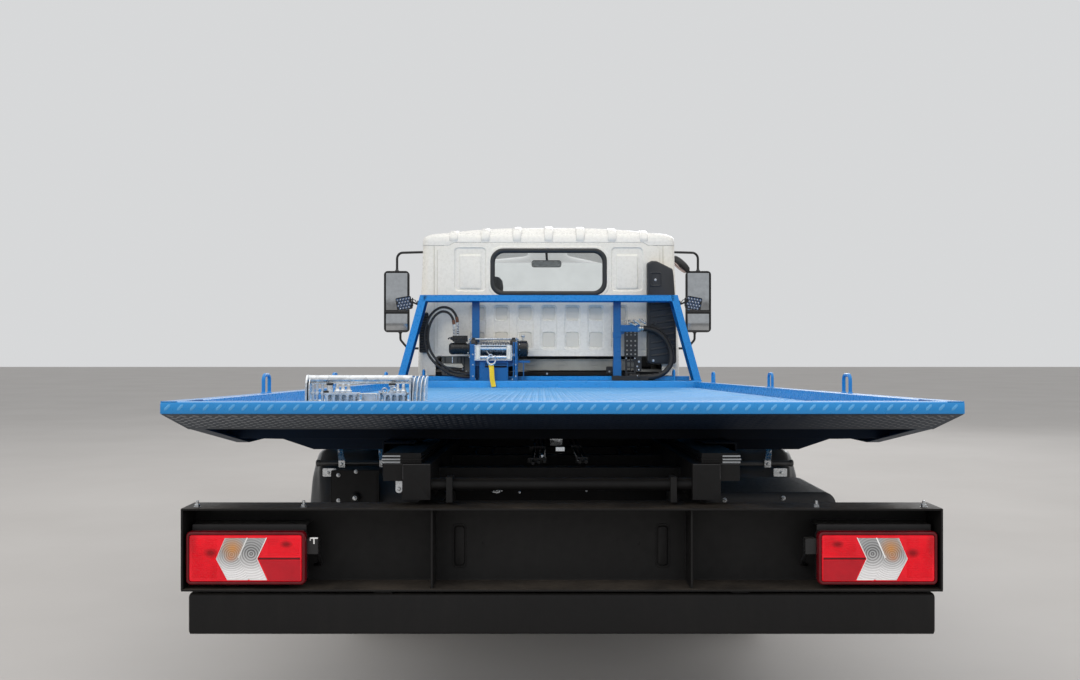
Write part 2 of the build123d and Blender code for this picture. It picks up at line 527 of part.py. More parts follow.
# ------------------------------------------------------------------ mirrors, front bumper, lamps
MS = 7662.0
mir = fuse(rbx(1310, 1552, MS - 32, MS + 38, 1482, 2065, 30),
           tube([(1430, MS, 2040), (1430, MS, 2268), (1000, MS - 120, 2268), (985, MS - 300, 2200)], [60, 60], 12),
           tube([(1400, MS, 1500), (1400, MS, 1405), (1020, MS + 10, 1405)], [50], 12))
mir = mir - cab_outer
save("mirrors", both(mir))
bump_f = fuse(rbx(-1040, 1040, 7680, 7800, 400, 700, 30, Axis.X), both(bx(990, 1050, 7240, 7700, 400, 780)),
              both(bx(385, 455, 7560, 7690, 560, 690)))
bump_f = bump_f - frame_block - cab_outer
save("front_bumper", bump_f)
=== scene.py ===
import bpy
import bmesh
import math
import random
from mathutils import Vector, Matrix

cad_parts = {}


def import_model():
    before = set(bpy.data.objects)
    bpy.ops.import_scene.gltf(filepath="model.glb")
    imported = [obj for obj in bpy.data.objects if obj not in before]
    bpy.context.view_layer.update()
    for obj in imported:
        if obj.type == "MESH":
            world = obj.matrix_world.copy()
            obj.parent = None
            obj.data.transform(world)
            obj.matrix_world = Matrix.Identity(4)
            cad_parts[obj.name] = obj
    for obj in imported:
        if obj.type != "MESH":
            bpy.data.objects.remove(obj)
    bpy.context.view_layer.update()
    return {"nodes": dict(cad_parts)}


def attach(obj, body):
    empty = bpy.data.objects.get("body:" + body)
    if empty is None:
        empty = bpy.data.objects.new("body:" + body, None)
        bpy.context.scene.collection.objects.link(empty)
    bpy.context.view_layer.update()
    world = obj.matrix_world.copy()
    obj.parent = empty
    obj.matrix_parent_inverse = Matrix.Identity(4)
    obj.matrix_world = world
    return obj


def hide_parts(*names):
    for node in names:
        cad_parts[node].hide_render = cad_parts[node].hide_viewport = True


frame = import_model()

# Flatbed tow truck. Lengths in millimetres as (x, s, z): s is the distance ahead of the deck's rear edge.
# "raked" pieces use bed coordinates (x, u, w): u along the bed, w above its plate.
S0, DECK_Z0, RAKE = 3900.0, 1173.0, math.radians(1.4)
CR, SR = math.cos(RAKE), math.sin(RAKE)
rnd = random.Random(7)


def world(u, w):
    return u * CR + w * SR, DECK_Z0 - u * SR + w * CR


def to_w(p):
    return Vector((p[0], p[1] - S0, p[2])) / 1000


def to_b(p):
    s, z = world(p[1], p[2])
    return Vector((p[0], s - S0, z)) / 1000


# ------------------------------------------------------------------ camera and light
cam = bpy.data.cameras.new("camera")
cam_ob = bpy.data.objects.new("camera", cam)
bpy.context.scene.collection.objects.link(cam_ob)
cam_ob.location = (-0.065, -7.4, 1.40)
cam_ob.rotation_euler = (math.pi / 2, 0, 0)
cam.sensor_width = 36
cam.lens = 1174 / 1080 * 36
cam.shift_x = -0.65 / 1080
cam.shift_y = 1 / 1080
cam.clip_end = 300
bpy.context.scene.camera = cam_ob


def area(name, loc, aim, size, power, col=(1, 1, 1)):
    li = bpy.data.lights.new(name, "AREA")
    li.shape, li.size, li.size_y, li.energy, li.color = "RECTANGLE", size[0], size[1], power, col
    ob = bpy.data.objects.new(name, li)
    ob.location = loc
    ob.rotation_euler = (Vector(aim) - Vector(loc)).to_track_quat("-Z", "Y").to_euler()
    bpy.context.scene.collection.objects.link(ob)
    return ob


area("sky_panel", (0, -0.5, 8.5), (0, -0.5, 0), (14, 16), 520, (1.0, 0.99, 0.97))
area("key_panel", (-6.5, -9.5, 6.0), (0, 0, 1.1), (6, 5), 330, (1.0, 0.97, 0.92)).visible_glossy = False
area("fill_panel", (8.0, -7.0, 4.2), (0, 0, 1.0), (6, 4), 150, (1.0, 0.98, 0.96)).visible_glossy = False
area("front_panel", (3.0, 11.0, 6.0), (0, 1, 1.0), (8, 5), 260, (0.98, 0.99, 1.0))
back_fill = area("back_fill_panel", (-1.4, -3.6, 3.5), (0.1, 2.2, 0.85), (1.6, 0.8), 4.5, (1.0, 0.94, 0.82))
back_fill.visible_glossy = False
back_fill.data.spread = math.radians(42)

sky = bpy.data.worlds.new("studio")
bpy.context.scene.world = sky
sky.use_nodes = True
bg = sky.node_tree.nodes["Background"]
bg.inputs["Color"].default_value = (0.895, 0.905, 0.915, 1)
bg.inputs["Strength"].default_value = 0.76
bpy.context.scene.view_settings.view_transform = "Standard"
bpy.context.scene.view_settings.look = "None"


# ------------------------------------------------------------------ materials
def material(name):
    m = bpy.data.materials.new(name)
    m.use_nodes = True
    nt = m.node_tree
    nt.nodes.clear()
    out = nt.nodes.new("ShaderNodeOutputMaterial")
    b = nt.nodes.new("ShaderNodeBsdfPrincipled")
    nt.links.new(b.outputs[0], out.inputs[0])
    return m, nt, b


def coords(nt, scale=(1, 1, 1), rot=(0, 0, 0), loc=(0, 0, 0)):
    t = nt.nodes.new("ShaderNodeTexCoord")
    mp = nt.nodes.new("ShaderNodeMapping")
    mp.inputs["Scale"].default_value = scale
    mp.inputs["Rotation"].default_value = rot
    mp.inputs["Location"].default_value = loc
    nt.links.new(t.outputs["Object"], mp.inputs[0])
    return mp.outputs[0]


def noise(nt, vec, scale, detail=4.0, rough=0.55, dist=0.0):
    n = nt.nodes.new("ShaderNodeTexNoise")
    n.inputs["Scale"].default_value = scale
    n.inputs["Detail"].default_value = detail
    n.inputs["Roughness"].default_value = rough
    n.inputs["Distortion"].default_value = dist
    nt.links.new(vec, n.inputs["Vector"])
    return n.outputs["Fac"]


def voronoi(nt, vec, scale, out="Color", feature="F1"):
    n = nt.nodes.new("ShaderNodeTexVoronoi")
    n.feature = feature
    n.inputs["Scale"].default_value = scale
    nt.links.new(vec, n.inputs["Vector"])
    return n.outputs[out]


def wave(nt, vec, scale, direction="X", kind="BANDS", dist=0.0, profile="SIN"):
    n = nt.nodes.new("ShaderNodeTexWave")
    n.wave_type = kind
    n.wave_profile = profile
    if kind == "BANDS":
        n.bands_direction = direction
    else:
        n.rings_direction = direction
    n.inputs["Scale"].default_value = scale
    n.inputs["Distortion"].default_value = dist
    nt.links.new(vec, n.inputs["Vector"])
    return n.outputs["Fac"]


def ramp(nt, fac, stops, interp="LINEAR"):
    n = nt.nodes.new("ShaderNodeValToRGB")
    n.color_ramp.interpolation = interp
    el = n.color_ramp.elements
    while len(el) < len(stops):
        el.new(0.5)
    for e, (p, c) in zip(el, stops):
        e.position = p
        e.color = (c, c, c, 1) if isinstance(c, (int, float)) else (*c, 1)
    nt.links.new(fac, n.inputs[0])
    return n.outputs[0]


def span(nt, fac, a, b, c, d):
    n = nt.nodes.new("ShaderNodeMapRange")
    for i, v in zip((1, 2, 3, 4), (a, b, c, d)):
        n.inputs[i].default_value = v
    nt.links.new(fac, n.inputs[0])
    return n.outputs[0]


def mixc(nt, fac, a, b):
    n = nt.nodes.new("ShaderNodeMix")
    n.data_type = "RGBA"
    for i, v in ((6, a), (7, b)):
        if isinstance(v, tuple):
            n.inputs[i].default_value = (*v, 1)
        else:
            nt.links.new(v, n.inputs[i])
    nt.links.new(fac, n.inputs[0])
    return n.outputs[2]


def mult(nt, a, b, op="MULTIPLY"):
    n = nt.nodes.new("ShaderNodeMath")
    n.operation = op
    for i, v in enumerate((a, b)):
        if isinstance(v, (int, float)):
            n.inputs[i].default_value = v
        else:
            nt.links.new(v, n.inputs[i])
    return n.outputs[0]


def facing_up(nt, lo=0.6, hi=0.98):
    g = nt.nodes.new("ShaderNodeNewGeometry")
    sp = nt.nodes.new("ShaderNodeSeparateXYZ")
    nt.links.new(g.outputs["Normal"], sp.inputs[0])
    return span(nt, sp.outputs["Z"], lo, hi, 0, 1)


def bump(nt, b, height, strength, distance, first=None):
    n = nt.nodes.new("ShaderNodeBump")
    n.inputs["Strength"].default_value = strength
    n.inputs["Distance"].default_value = distance
    nt.links.new(height, n.inputs["Height"])
    if first is not None:
        nt.links.new(first, n.inputs["Normal"])
    nt.links.new(n.outputs[0], b.inputs["Normal"])
    return n.outputs[0]


def shade(c, k):
    return tuple(max(0.0, min(1.0, x * k)) for x in c)


def paint(name, col, rough=0.3, coat=0.3, peel=0.06, vary=0.07, dust=0.12, dustcol=(0.42, 0.40, 0.36), grime=0.0,
          metallic=0.0, streak=0.0, spec=0.5):
    m, nt, b = material(name)
    b.inputs["Specular IOR Level"].default_value = spec
    v = coords(nt)
    big = noise(nt, v, 1.9, 4)
    c = ramp(nt, big, [(0.3, shade(col, 1 - vary)), (0.7, shade(col, 1 + vary))])
    if streak:
        st = noise(nt, coords(nt, (3, 3, 0.35)), 9, 5, 0.65)
        c = mixc(nt, span(nt, st, 0.5, 0.78, 0, streak), c, dustcol)
    if grime:
        g = noise(nt, v, 14, 6, 0.7)
        c = mixc(nt, span(nt, g, 0.5, 0.75, 0, grime), c, (0.05, 0.045, 0.04))
    d = mult(nt, facing_up(nt), span(nt, noise(nt, v, 5.5, 6, 0.65), 0.35, 0.75, 0.25, 1.0))
    c = mixc(nt, mult(nt, d, dust), c, dustcol)
    nt.links.new(c, b.inputs["Base Color"])
    fine = noise(nt, v, 46, 5)
    nt.links.new(span(nt, fine, 0.3, 0.7, max(0.04, rough - 0.05), rough + 0.09), b.inputs["Roughness"])
    b.inputs["Coat Weight"].default_value = coat
    b.inputs["Coat Roughness"].default_value = 0.08
    b.inputs["Metallic"].default_value = metallic
    bump(nt, b, noise(nt, v, 420, 2, 0.4), peel, 0.0012)
    return m


def metal(name, col, rough=0.3, spangle=0.0, brush=None, scale=60):
    m, nt, b = material(name)
    v = coords(nt)
    if spangle:
        cells = voronoi(nt, v, scale)
        sp = nt.nodes.new("ShaderNodeSeparateColor")
        nt.links.new(cells, sp.inputs[0])
        c = ramp(nt, sp.outputs[0], [(0.1, shade(col, 1 - spangle)), (0.9, shade(col, 1 + spangle))])
        r = span(nt, sp.outputs[1], 0, 1, rough - 0.07, rough + 0.12)
    else:
        c = ramp(nt, noise(nt, v, 22, 5), [(0.3, shade(col, 0.88)), (0.7, shade(col, 1.06))])
        r = span(nt, noise(nt, v, 35, 5), 0.3, 0.7, max(0.03, rough - 0.05), rough + 0.1)
    nt.links.new(c, b.inputs["Base Color"])
    nt.links.new(r, b.inputs["Roughness"])
    b.inputs["Metallic"].default_value = 1.0
    h = noise(nt, coords(nt, brush), 260, 3) if brush else noise(nt, v, 300, 3)
    bump(nt, b, h, 0.10, 0.0007)
    return m


def plastic(name, col, rough=0.5, grain=0.25, scale=900, dust=0.1):
    m, nt, b = material(name)
    v = coords(nt)
    c = ramp(nt, noise(nt, v, 7, 5), [(0.3, shade(col, 0.85)), (0.7, shade(col, 1.18))])
    c = mixc(nt, mult(nt, facing_up(nt), dust), c, (0.36, 0.34, 0.31))
    nt.links.new(c, b.inputs["Base Color"])
    nt.links.new(span(nt, noise(nt, v, 60, 4), 0.3, 0.7, rough - 0.06, rough + 0.1), b.inputs["Roughness"])
    bump(nt, b, voronoi(nt, v, scale, "Distance"), grain, 0.0006)
    return m


WHITE = paint("white_paint_look", (0.80, 0.79, 0.755), 0.24, 0.5, 0.035, 0.02, 0.10, (0.50, 0.48, 0.44), streak=0.03)
# painted shade: the cab's back wall and its roof get darker copies of the white paint, toned for how the light falls on
# them
WHITE_BACK_SHADED = paint("white_back_shaded_look", (0.765, 0.74, 0.68), 0.26, 0.4, 0.02, 0.015, 0.06, (0.50, 0.48, 0.44), streak=0.015)
WHITE_ROOF_SHADED = paint("white_roof_shaded_look", (0.70, 0.69, 0.66), 0.26, 0.4, 0.02, 0.015, 0.08, (0.46, 0.44, 0.41), streak=0.015)
BLUE = paint("blue_paint_look", (0.006, 0.205, 0.56), 0.27, 0.30, 0.08, 0.07, 0.10, (0.26, 0.32, 0.40), spec=0.35)
BLUE_TREAD = paint("blue_tread_look", (0.010, 0.235, 0.60), 0.30, 0.35, 0.10, 0.09, 0.20, (0.34, 0.44, 0.52), grime=0.08,
                   spec=0.42)
BLUE_DECK = paint("blue_deck_look", (0.040, 0.285, 0.64), 0.42, 0.0, 0.10, 0.09, 0.28, (0.34, 0.44, 0.52), grime=0.08, spec=0.22)
BLACK = paint("black_paint_look", (0.0075, 0.0072, 0.0075), 0.46, 0.0, 0.16, 0.15, 0.22, (0.12, 0.105, 0.088), streak=0.02,
              spec=0.24)
BUMPER = paint("bumper_black_look", (0.0108, 0.0104, 0.0105), 0.50, 0.0, 0.14, 0.16, 0.75, (0.085, 0.070, 0.056), streak=0.02,
               spec=0.22)
FRAMEB = paint("frame_black_look", (0.010, 0.010, 0.0105), 0.50, 0.0, 0.22, 0.2, 0.3, (0.12, 0.105, 0.09), streak=0.05,
               spec=0.25)
MUD = paint("mudguard_look", (0.030, 0.030, 0.031), 0.32, 0.4, 0.15, 0.2, 0.30, (0.15, 0.14, 0.125), streak=0.05, spec=0.55)
SATIN = paint("satin_black_look", (0.008, 0.008, 0.0085), 0.26, 0.15, 0.05, 0.1, 0.06, (0.2, 0.18, 0.16), spec=0.45)
CAST = paint("cast_look", (0.045, 0.045, 0.048), 0.62, 0.0, 0.55, 0.25, 0.25, (0.22, 0.19, 0.16), grime=0.3)
ENGINE = paint("engine_look", (0.10, 0.105, 0.11), 0.55, 0.0, 0.5, 0.2, 0.2, (0.2, 0.18, 0.16), grime=0.35)
RIM = paint("rim_look", (0.46, 0.47, 0.48), 0.33, 0.2, 0.08, 0.08, 0.1, (0.3, 0.28, 0.25), metallic=0.35, streak=0.1)
PLASTIC = plastic("black_plastic_look", (0.022, 0.022, 0.024), 0.50, 0.3)
PLASTIC_FINE = plastic("black_trim_look", (0.013, 0.013, 0.014), 0.34, 0.12)
TRIM = plastic("trim_grey_look", (0.13, 0.13, 0.135), 0.62, 0.35)
LINER = plastic("liner_look", (0.42, 0.415, 0.40), 0.8, 0.4, 700, 0.0)
ZINC = metal("zinc_look", (0.66, 0.68, 0.70), 0.28, 0.10, scale=160)
GALV = metal("galvanised_look", (0.70, 0.72, 0.74), 0.30, 0.16, scale=70)
CHROME = metal("chrome_look", (0.86, 0.87, 0.88), 0.07)
ALU = metal("aluminium_look", (0.58, 0.59, 0.60), 0.36, brush=(1, 12, 12))
STEEL = metal("wire_steel_look", (0.46, 0.48, 0.50), 0.34)
EXHAUST = metal("exhaust_look", (0.36, 0.33, 0.31), 0.46, 0.10, scale=25)
BRASS = metal("fitting_look", (0.62, 0.60, 0.56), 0.24)
GASKET = plastic("gasket_look", (0.022, 0.023, 0.024), 0.40, 0.15)
TRIM_DARK = plastic("trim_dark_look", (0.055, 0.055, 0.058), 0.6, 0.3)
VISOR_GLOW = plastic("visor_glow_look", (0.74, 0.73, 0.72), 0.8, 0.3, 700, 0.0)
HEADER_GLOW = plastic("header_glow_look", (0.80, 0.80, 0.80), 0.8, 0.3, 700, 0.0)
for m_, k_ in ((VISOR_GLOW, 0.36), (HEADER_GLOW, 0.52)):   # painted light: visors and header glow as if daylight came through them
    m_.node_tree.nodes["Principled BSDF"].inputs["Emission Color"].default_value = (0.80, 0.81, 0.81, 1)
    m_.node_tree.nodes["Principled BSDF"].inputs["Emission Strength"].default_value = k_
SNORKEL = plastic("snorkel_look", (0.020, 0.0215, 0.025), 0.44, 0.25, 900, 0.2)
COVER_GREY = plastic("cover_grey_look", (0.27, 0.275, 0.26), 0.6, 0.2)
BOX_GREY = plastic("box_grey_look", (0.105, 0.11, 0.11), 0.6, 0.3)
# painted light: a paler grey so the bracket looks lit
BRACKET_LIT_GREY = plastic("bracket_lit_grey_look", (0.62, 0.62, 0.57), 0.5, 0.2, 700, 0.0)
# painted shade: a darker copy of the blue paint for uprights and plates that face away from the light
BLUE_POST_SHADE = paint("blue_post_shade_look", (0.004, 0.098, 0.30), 0.30, 0.2, 0.08, 0.07, 0.10, (0.20, 0.26, 0.34), spec=0.32)
WHITE_SHADE = paint("white_shade_look", (0.665, 0.635, 0.565),0.34, 0.3, 0.035, 0.05, 0.10, (0.42, 0.40, 0.36), grime=0.06)
MIRROR_GREY = metal("mirror_grey_look", (0.40, 0.42, 0.43), 0.18)


def rubber(name, col, rough, ribs=None):
    m, nt, b = material(name)
    v = coords(nt)
    c = ramp(nt, noise(nt, v, 11, 6, 0.65), [(0.3, shade(col, 0.8)), (0.75, shade(col, 1.5))])
    nt.links.new(c, b.inputs["Base Color"])
    nt.links.new(span(nt, noise(nt, v, 50, 5), 0.3, 0.7, rough - 0.08, rough + 0.1), b.inputs["Roughness"])
    bump(nt, b, noise(nt, v, 600, 4, 0.7), 0.35, 0.0007)
    return m


HOSE = rubber("hose_rubber_look", (0.014, 0.014, 0.015), 0.46)


def tyre_material():
    m, nt, b = material("tyre_look")
    v = coords(nt)
    c = ramp(nt, noise(nt, v, 9, 6, 0.7), [(0.3, (0.016, 0.016, 0.017)), (0.8, (0.040, 0.038, 0.035))])
    c = mixc(nt, span(nt, noise(nt, v, 34, 6, 0.7), 0.55, 0.8, 0, 0.5), c, (0.075, 0.068, 0.06))
    nt.links.new(c, b.inputs["Base Color"])
    nt.links.new(span(nt, noise(nt, v, 60, 5), 0.3, 0.7, 0.72, 0.92), b.inputs["Roughness"])
    bump(nt, b, noise(nt, v, 500, 5, 0.7), 0.4, 0.001)
    return m


TYRE = tyre_material()


def glass_material(name, tint, gloss=0.02, edge=1.45):
    m, nt, _ = material(name)
    nt.nodes.clear()
    out = nt.nodes.new("ShaderNodeOutputMaterial")
    tr = nt.nodes.new("ShaderNodeBsdfTransparent")
    gl = nt.nodes.new("ShaderNodeBsdfGlossy")
    fr = nt.nodes.new("ShaderNodeFresnel")
    mx = nt.nodes.new("ShaderNodeMixShader")
    fr.inputs["IOR"].default_value = edge
    gl.inputs["Roughness"].default_value = gloss
    smear = noise(nt, coords(nt), 6, 5)
    nt.links.new(ramp(nt, smear, [(0.3, shade(tint, 0.97)), (0.7, tint)]), tr.inputs["Color"])
    nt.links.new(fr.outputs[0], mx.inputs[0])
    nt.links.new(tr.outputs[0], mx.inputs[1])
    nt.links.new(gl.outputs[0], mx.inputs[2])
    nt.links.new(mx.outputs[0], out.inputs[0])
    return m


GLASS = glass_material("glass_look", (0.99, 1.0, 0.997), 0.02, 1.25)
GLASS_DARK = glass_material("glass_side_look", (0.80, 0.85, 0.84))
MIRROR = metal("mirror_glass_look", (0.44, 0.46, 0.48), 0.05)
LED_CUP = metal("led_cup_look", (0.15, 0.19, 0.27), 0.22)
LED_CHIP = plastic("led_chip_look", (0.62, 0.64, 0.68), 0.3, 0.05, 500, 0.0)
CRIMP = metal("crimp_look", (0.26, 0.13, 0.09), 0.38)
# worn crests of the tread bars, made lighter still as a painted highlight
BLUE_WORN_HIGHLIGHT = paint("blue_worn_highlight_look", (0.085, 0.36, 0.72),0.28, 0.3, 0.06, 0.12, 0.2, (0.40, 0.50, 0.60), spec=0.5)
BLUE_DARK = paint("blue_shadow_look", (0.004, 0.052, 0.135), 0.34, 0.2, 0.10, 0.10, 0.10, (0.12, 0.14, 0.18), grime=0.4, spec=0.3)
# painted reflection: the kerb mirror's glass tinted warm
MIRROR_WARM_REFLECTION = metal("mirror_warm_reflection_look", (0.62, 0.50, 0.48), 0.05)
ZINC_BRIGHT = metal("zinc_bright_look", (0.80, 0.84, 0.88), 0.24, 0.05, scale=120)
ROLLER = plastic("roller_look", (0.66, 0.66, 0.62), 0.4, 0.1, 600, 0.0)


def cloth_material():
    m, nt, b = material("seat_cloth_look")
    v = coords(nt)
    weave = mult(nt, wave(nt, v, 180, "X"), wave(nt, v, 180, "Z"))
    c = ramp(nt, noise(nt, v, 120, 4), [(0.3, (0.035, 0.036, 0.04)), (0.7, (0.075, 0.077, 0.085))])
    nt.links.new(c, b.inputs["Base Color"])
    b.inputs["Roughness"].default_value = 0.9
    b.inputs["Sheen Weight"].default_value = 0.25
    bump(nt, b, weave, 0.5, 0.0012)
    return m


CLOTH = cloth_material()


def strap_material():
    m, nt, b = material("strap_look")
    v = coords(nt)
    rib = wave(nt, v, 330, "X")
    pick = wave(nt, coords(nt, rot=(0, math.radians(-7), 0)), 420, "Z")
    c = ramp(nt, rib, [(0.0, (0.78, 0.50, 0.01)), (1.0, (1.0, 0.76, 0.04))])
    c = mixc(nt, span(nt, noise(nt, v, 60, 5), 0.55, 0.8, 0, 0.3), c, (0.60, 0.46, 0.14))
    nt.links.new(c, b.inputs["Base Color"])
    b.inputs["Roughness"].default_value = 0.78
    b.inputs["Sheen Weight"].default_value = 0.3
    bump(nt, b, mult(nt, rib, pick), 0.6, 0.0014)
    return m


STRAP = strap_material()


def lamp_coords(nt, x, z, sx=1.0, sz=1.0):
    """Coordinates about a point of both tail lamps: the left one is the right one's mirror image."""
    t = nt.nodes.new("ShaderNodeTexCoord")
    sp = nt.nodes.new("ShaderNodeSeparateXYZ")
    nt.links.new(t.outputs["Object"], sp.inputs[0])
    cb = nt.nodes.new("ShaderNodeCombineXYZ")
    nt.links.new(mult(nt, mult(nt, mult(nt, sp.outputs[0], 0, "ABSOLUTE"), x, "SUBTRACT"), sx), cb.inputs[0])
    nt.links.new(mult(nt, mult(nt, sp.outputs[2], z, "SUBTRACT"), sz), cb.inputs[2])
    return cb.outputs[0]


def blob(nt, x, z, sx, sz, near, far):
    """1 at the point, falling to 0: for a bulb's shadow behind a lens."""
    ln = nt.nodes.new("ShaderNodeVectorMath")
    ln.operation = "LENGTH"
    nt.links.new(lamp_coords(nt, x, z, sx, sz), ln.inputs[0])
    return span(nt, ln.outputs["Value"], near, far, 1, 0)


def lens(name, col, ribs=120.0, direction="X", rough=0.12, deep=0.45, glow=0.0, bulbs=()):
    m, nt, b = material(name)
    v = coords(nt)
    w1 = wave(nt, v, ribs, direction)
    w2 = wave(nt, v, ribs * 0.5, "Z")
    blot = noise(nt, v, 22, 3)
    c = ramp(nt, blot, [(0.3, shade(col, deep)), (0.62, col)])
    c = mixc(nt, span(nt, w1, 0.1, 0.9, 0.0, 0.22), c, shade(col, 0.55))
    # painted shadows of the bulbs behind the lens; where k is below 0, a painted highlight instead
    for x, z, sx, sz, near, far, k in bulbs:
        c = mixc(nt, mult(nt, blob(nt, x, z, sx, sz, near, far), abs(k)), c, shade(col, 0.22) if k > 0 else shade(col, 1.5))
    nt.links.new(c, b.inputs["Base Color"])
    b.inputs["Roughness"].default_value = rough
    b.inputs["Specular IOR Level"].default_value = 0.28
    b.inputs["Coat Weight"].default_value = 0.22
    b.inputs["Coat Roughness"].default_value = 0.04
    if glow:
        nt.links.new(c, b.inputs["Emission Color"])
        b.inputs["Emission Strength"].default_value = glow
    bump(nt, b, mult(nt, w1, w2), 0.35, 0.0015)
    return m


LENS_RED = lens("lens_red_look", (0.92, 0.007, 0.022), 95, "X", 0.14, 0.80, 0.08,
                [(0.845, 0.777, 1, 1.7, 0.006, 0.022, 0.8), (1.076, 0.750, 1, 1.4, 0.006, 0.024, 0.75),
                 (1.150, 0.800, 1, 0.4, 0.01, 0.035, 0.45), (1.105, 0.700, 1, 1.0, 0.008, 0.045, -0.35)])
LENS_REFLEX = lens("lens_reflex_look", (0.56, 0.006, 0.018), 210, "Z", 0.3, 0.85, 0.04)
LENS_RED_DEEP = lens("lens_red_deep_look", (0.56, 0.004, 0.014), 150, "Z", 0.2, 0.6, 0.05)
LENS_RIM = lens("lens_rim_look", (0.13, 0.003, 0.007), 10, "X", 0.18, 0.7)
LAMP_WHITE = plastic("lamp_white_look", (0.86, 0.86, 0.85), 0.22, 0.05, 500, 0.0)


def optic(name, amber, x, z):
    """A clear ribbed optic in front of a reflector: fine rings, painted shade round the bulb and painted light from the
    reflector below it.
    """
    m, nt, b = material(name)
    rings = wave(nt, lamp_coords(nt, x, z), 48 if amber else 40, "Y", "RINGS", 0.4)
    dots = wave(nt, coords(nt), 105, "X")
    sp = nt.nodes.new("ShaderNodeSeparateXYZ")
    nt.links.new(lamp_coords(nt, x, z), sp.inputs[0])
    low = span(nt, sp.outputs[2], -0.055, 0.01, 1, 0)
    light = mixc(nt, low, (0.42, 0.43, 0.44), (0.90, 0.89, 0.90))
    dark = mixc(nt, low, (0.10, 0.10, 0.105), (0.46, 0.45, 0.46))
    near = blob(nt, x, z, 1, 1, 0.012, 0.052)
    strength = mult(nt, span(nt, rings, 0.25, 0.75, 0, 1), mult(nt, mult(nt, near, 0.75), 0.25, "ADD"))
    c = mixc(nt, strength, light, dark)
    c = mixc(nt, mult(nt, span(nt, dots, 0.3, 0.9, 0, 0.35), near), c, (0.16, 0.155, 0.15))
    if amber:
        c = mixc(nt, mult(nt, blob(nt, x - 0.004, z + 0.018, 1, 1, 0.004, 0.040), 0.85), c, (0.66, 0.27, 0.045))
        c = mixc(nt, mult(nt, blob(nt, x + 0.004, z - 0.012, 1, 1.5, 0.002, 0.022), 0.55), c, (0.62, 0.20, 0.03))
    nt.links.new(c, b.inputs["Base Color"])
    b.inputs["Roughness"].default_value = 0.18
    b.inputs["Coat Weight"].default_value = 0.8
    b.inputs["Coat Roughness"].default_value = 0.03
    bump(nt, b, rings, 0.5, 0.0015)
    return m


OPTIC_AMBER = optic("optic_amber_look", True, 1.012, 0.746)
OPTIC_CLEAR = optic("optic_clear_look", False, 0.952, 0.748)
LENS_AMBER = lens("lens_amber_look", (0.85, 0.30, 0.02), 110, "X", 0.15, 0.7)


def underside_shade_paint(name, far, near, x0=-0.95, x1=-0.25):
    """Paint under the nose: painted light at the left and right ends that fades to painted shade in the middle."""
    m, nt, b = material(name)
    v = coords(nt)
    sp = nt.nodes.new("ShaderNodeSeparateXYZ")
    nt.links.new(v, sp.inputs[0])
    edge = mult(nt, sp.outputs[0], mult(nt, noise(nt, v, 5, 5, 0.7), 0.25), "ADD")
    left = span(nt, edge, x0 + .12, x1 + .12, 1, 0)
    right = mult(nt, span(nt, edge, 0.75, 1.25, 0, 1), 0.75)
    k = mult(nt, left, right, "MAXIMUM")
    nt.links.new(mixc(nt, k, far, near), b.inputs["Base Color"])
    b.inputs["Roughness"].default_value = 0.62
    b.inputs["Specular IOR Level"].default_value = 0.2
    bump(nt, b, noise(nt, v, 300, 3), 0.2, 0.001)
    return m


# painted light and shade under the nose: lit ends, shaded middle
BLUE_UNDER_SHADE = underside_shade_paint("blue_underside_shade_look", (0.003, 0.010, 0.026), (0.070, 0.085, 0.105))
UNDER_BARS_SHADE = underside_shade_paint("underside_bars_shade_look", (0.005, 0.014, 0.032), (0.34, 0.355, 0.38), -0.95, -0.15)
# painted shade: near-black blue for the parts under the deck, a little lighter towards the ends
OUTRIGGER_SHADE = underside_shade_paint("outrigger_shade_look", (0.0012, 0.0025, 0.006), (0.006, 0.017, 0.038), -1.05, -0.45)
# painted shade with some grime: a near-black copy of the rail's blue for its faces under the deck
RAIL_INSIDE_SHADE = paint("rail_inside_shade_look", (0.003, 0.018, 0.045), 0.5, 0.0, 0.2, 0.2, 0.1, (0.1, 0.1, 0.1), grime=0.3, spec=0.2)


def floor_material():
    m, nt, b = material("floor_look")
    v = coords(nt)
    c = ramp(nt, noise(nt, v, 0.6, 5), [(0.3, (0.425, 0.405, 0.388)), (0.7, (0.462, 0.442, 0.425))])
    nt.links.new(c, b.inputs["Base Color"])
    b.inputs["Roughness"].default_value = 0.75
    bump(nt, b, noise(nt, v, 60, 4), 0.05, 0.004)
    return m


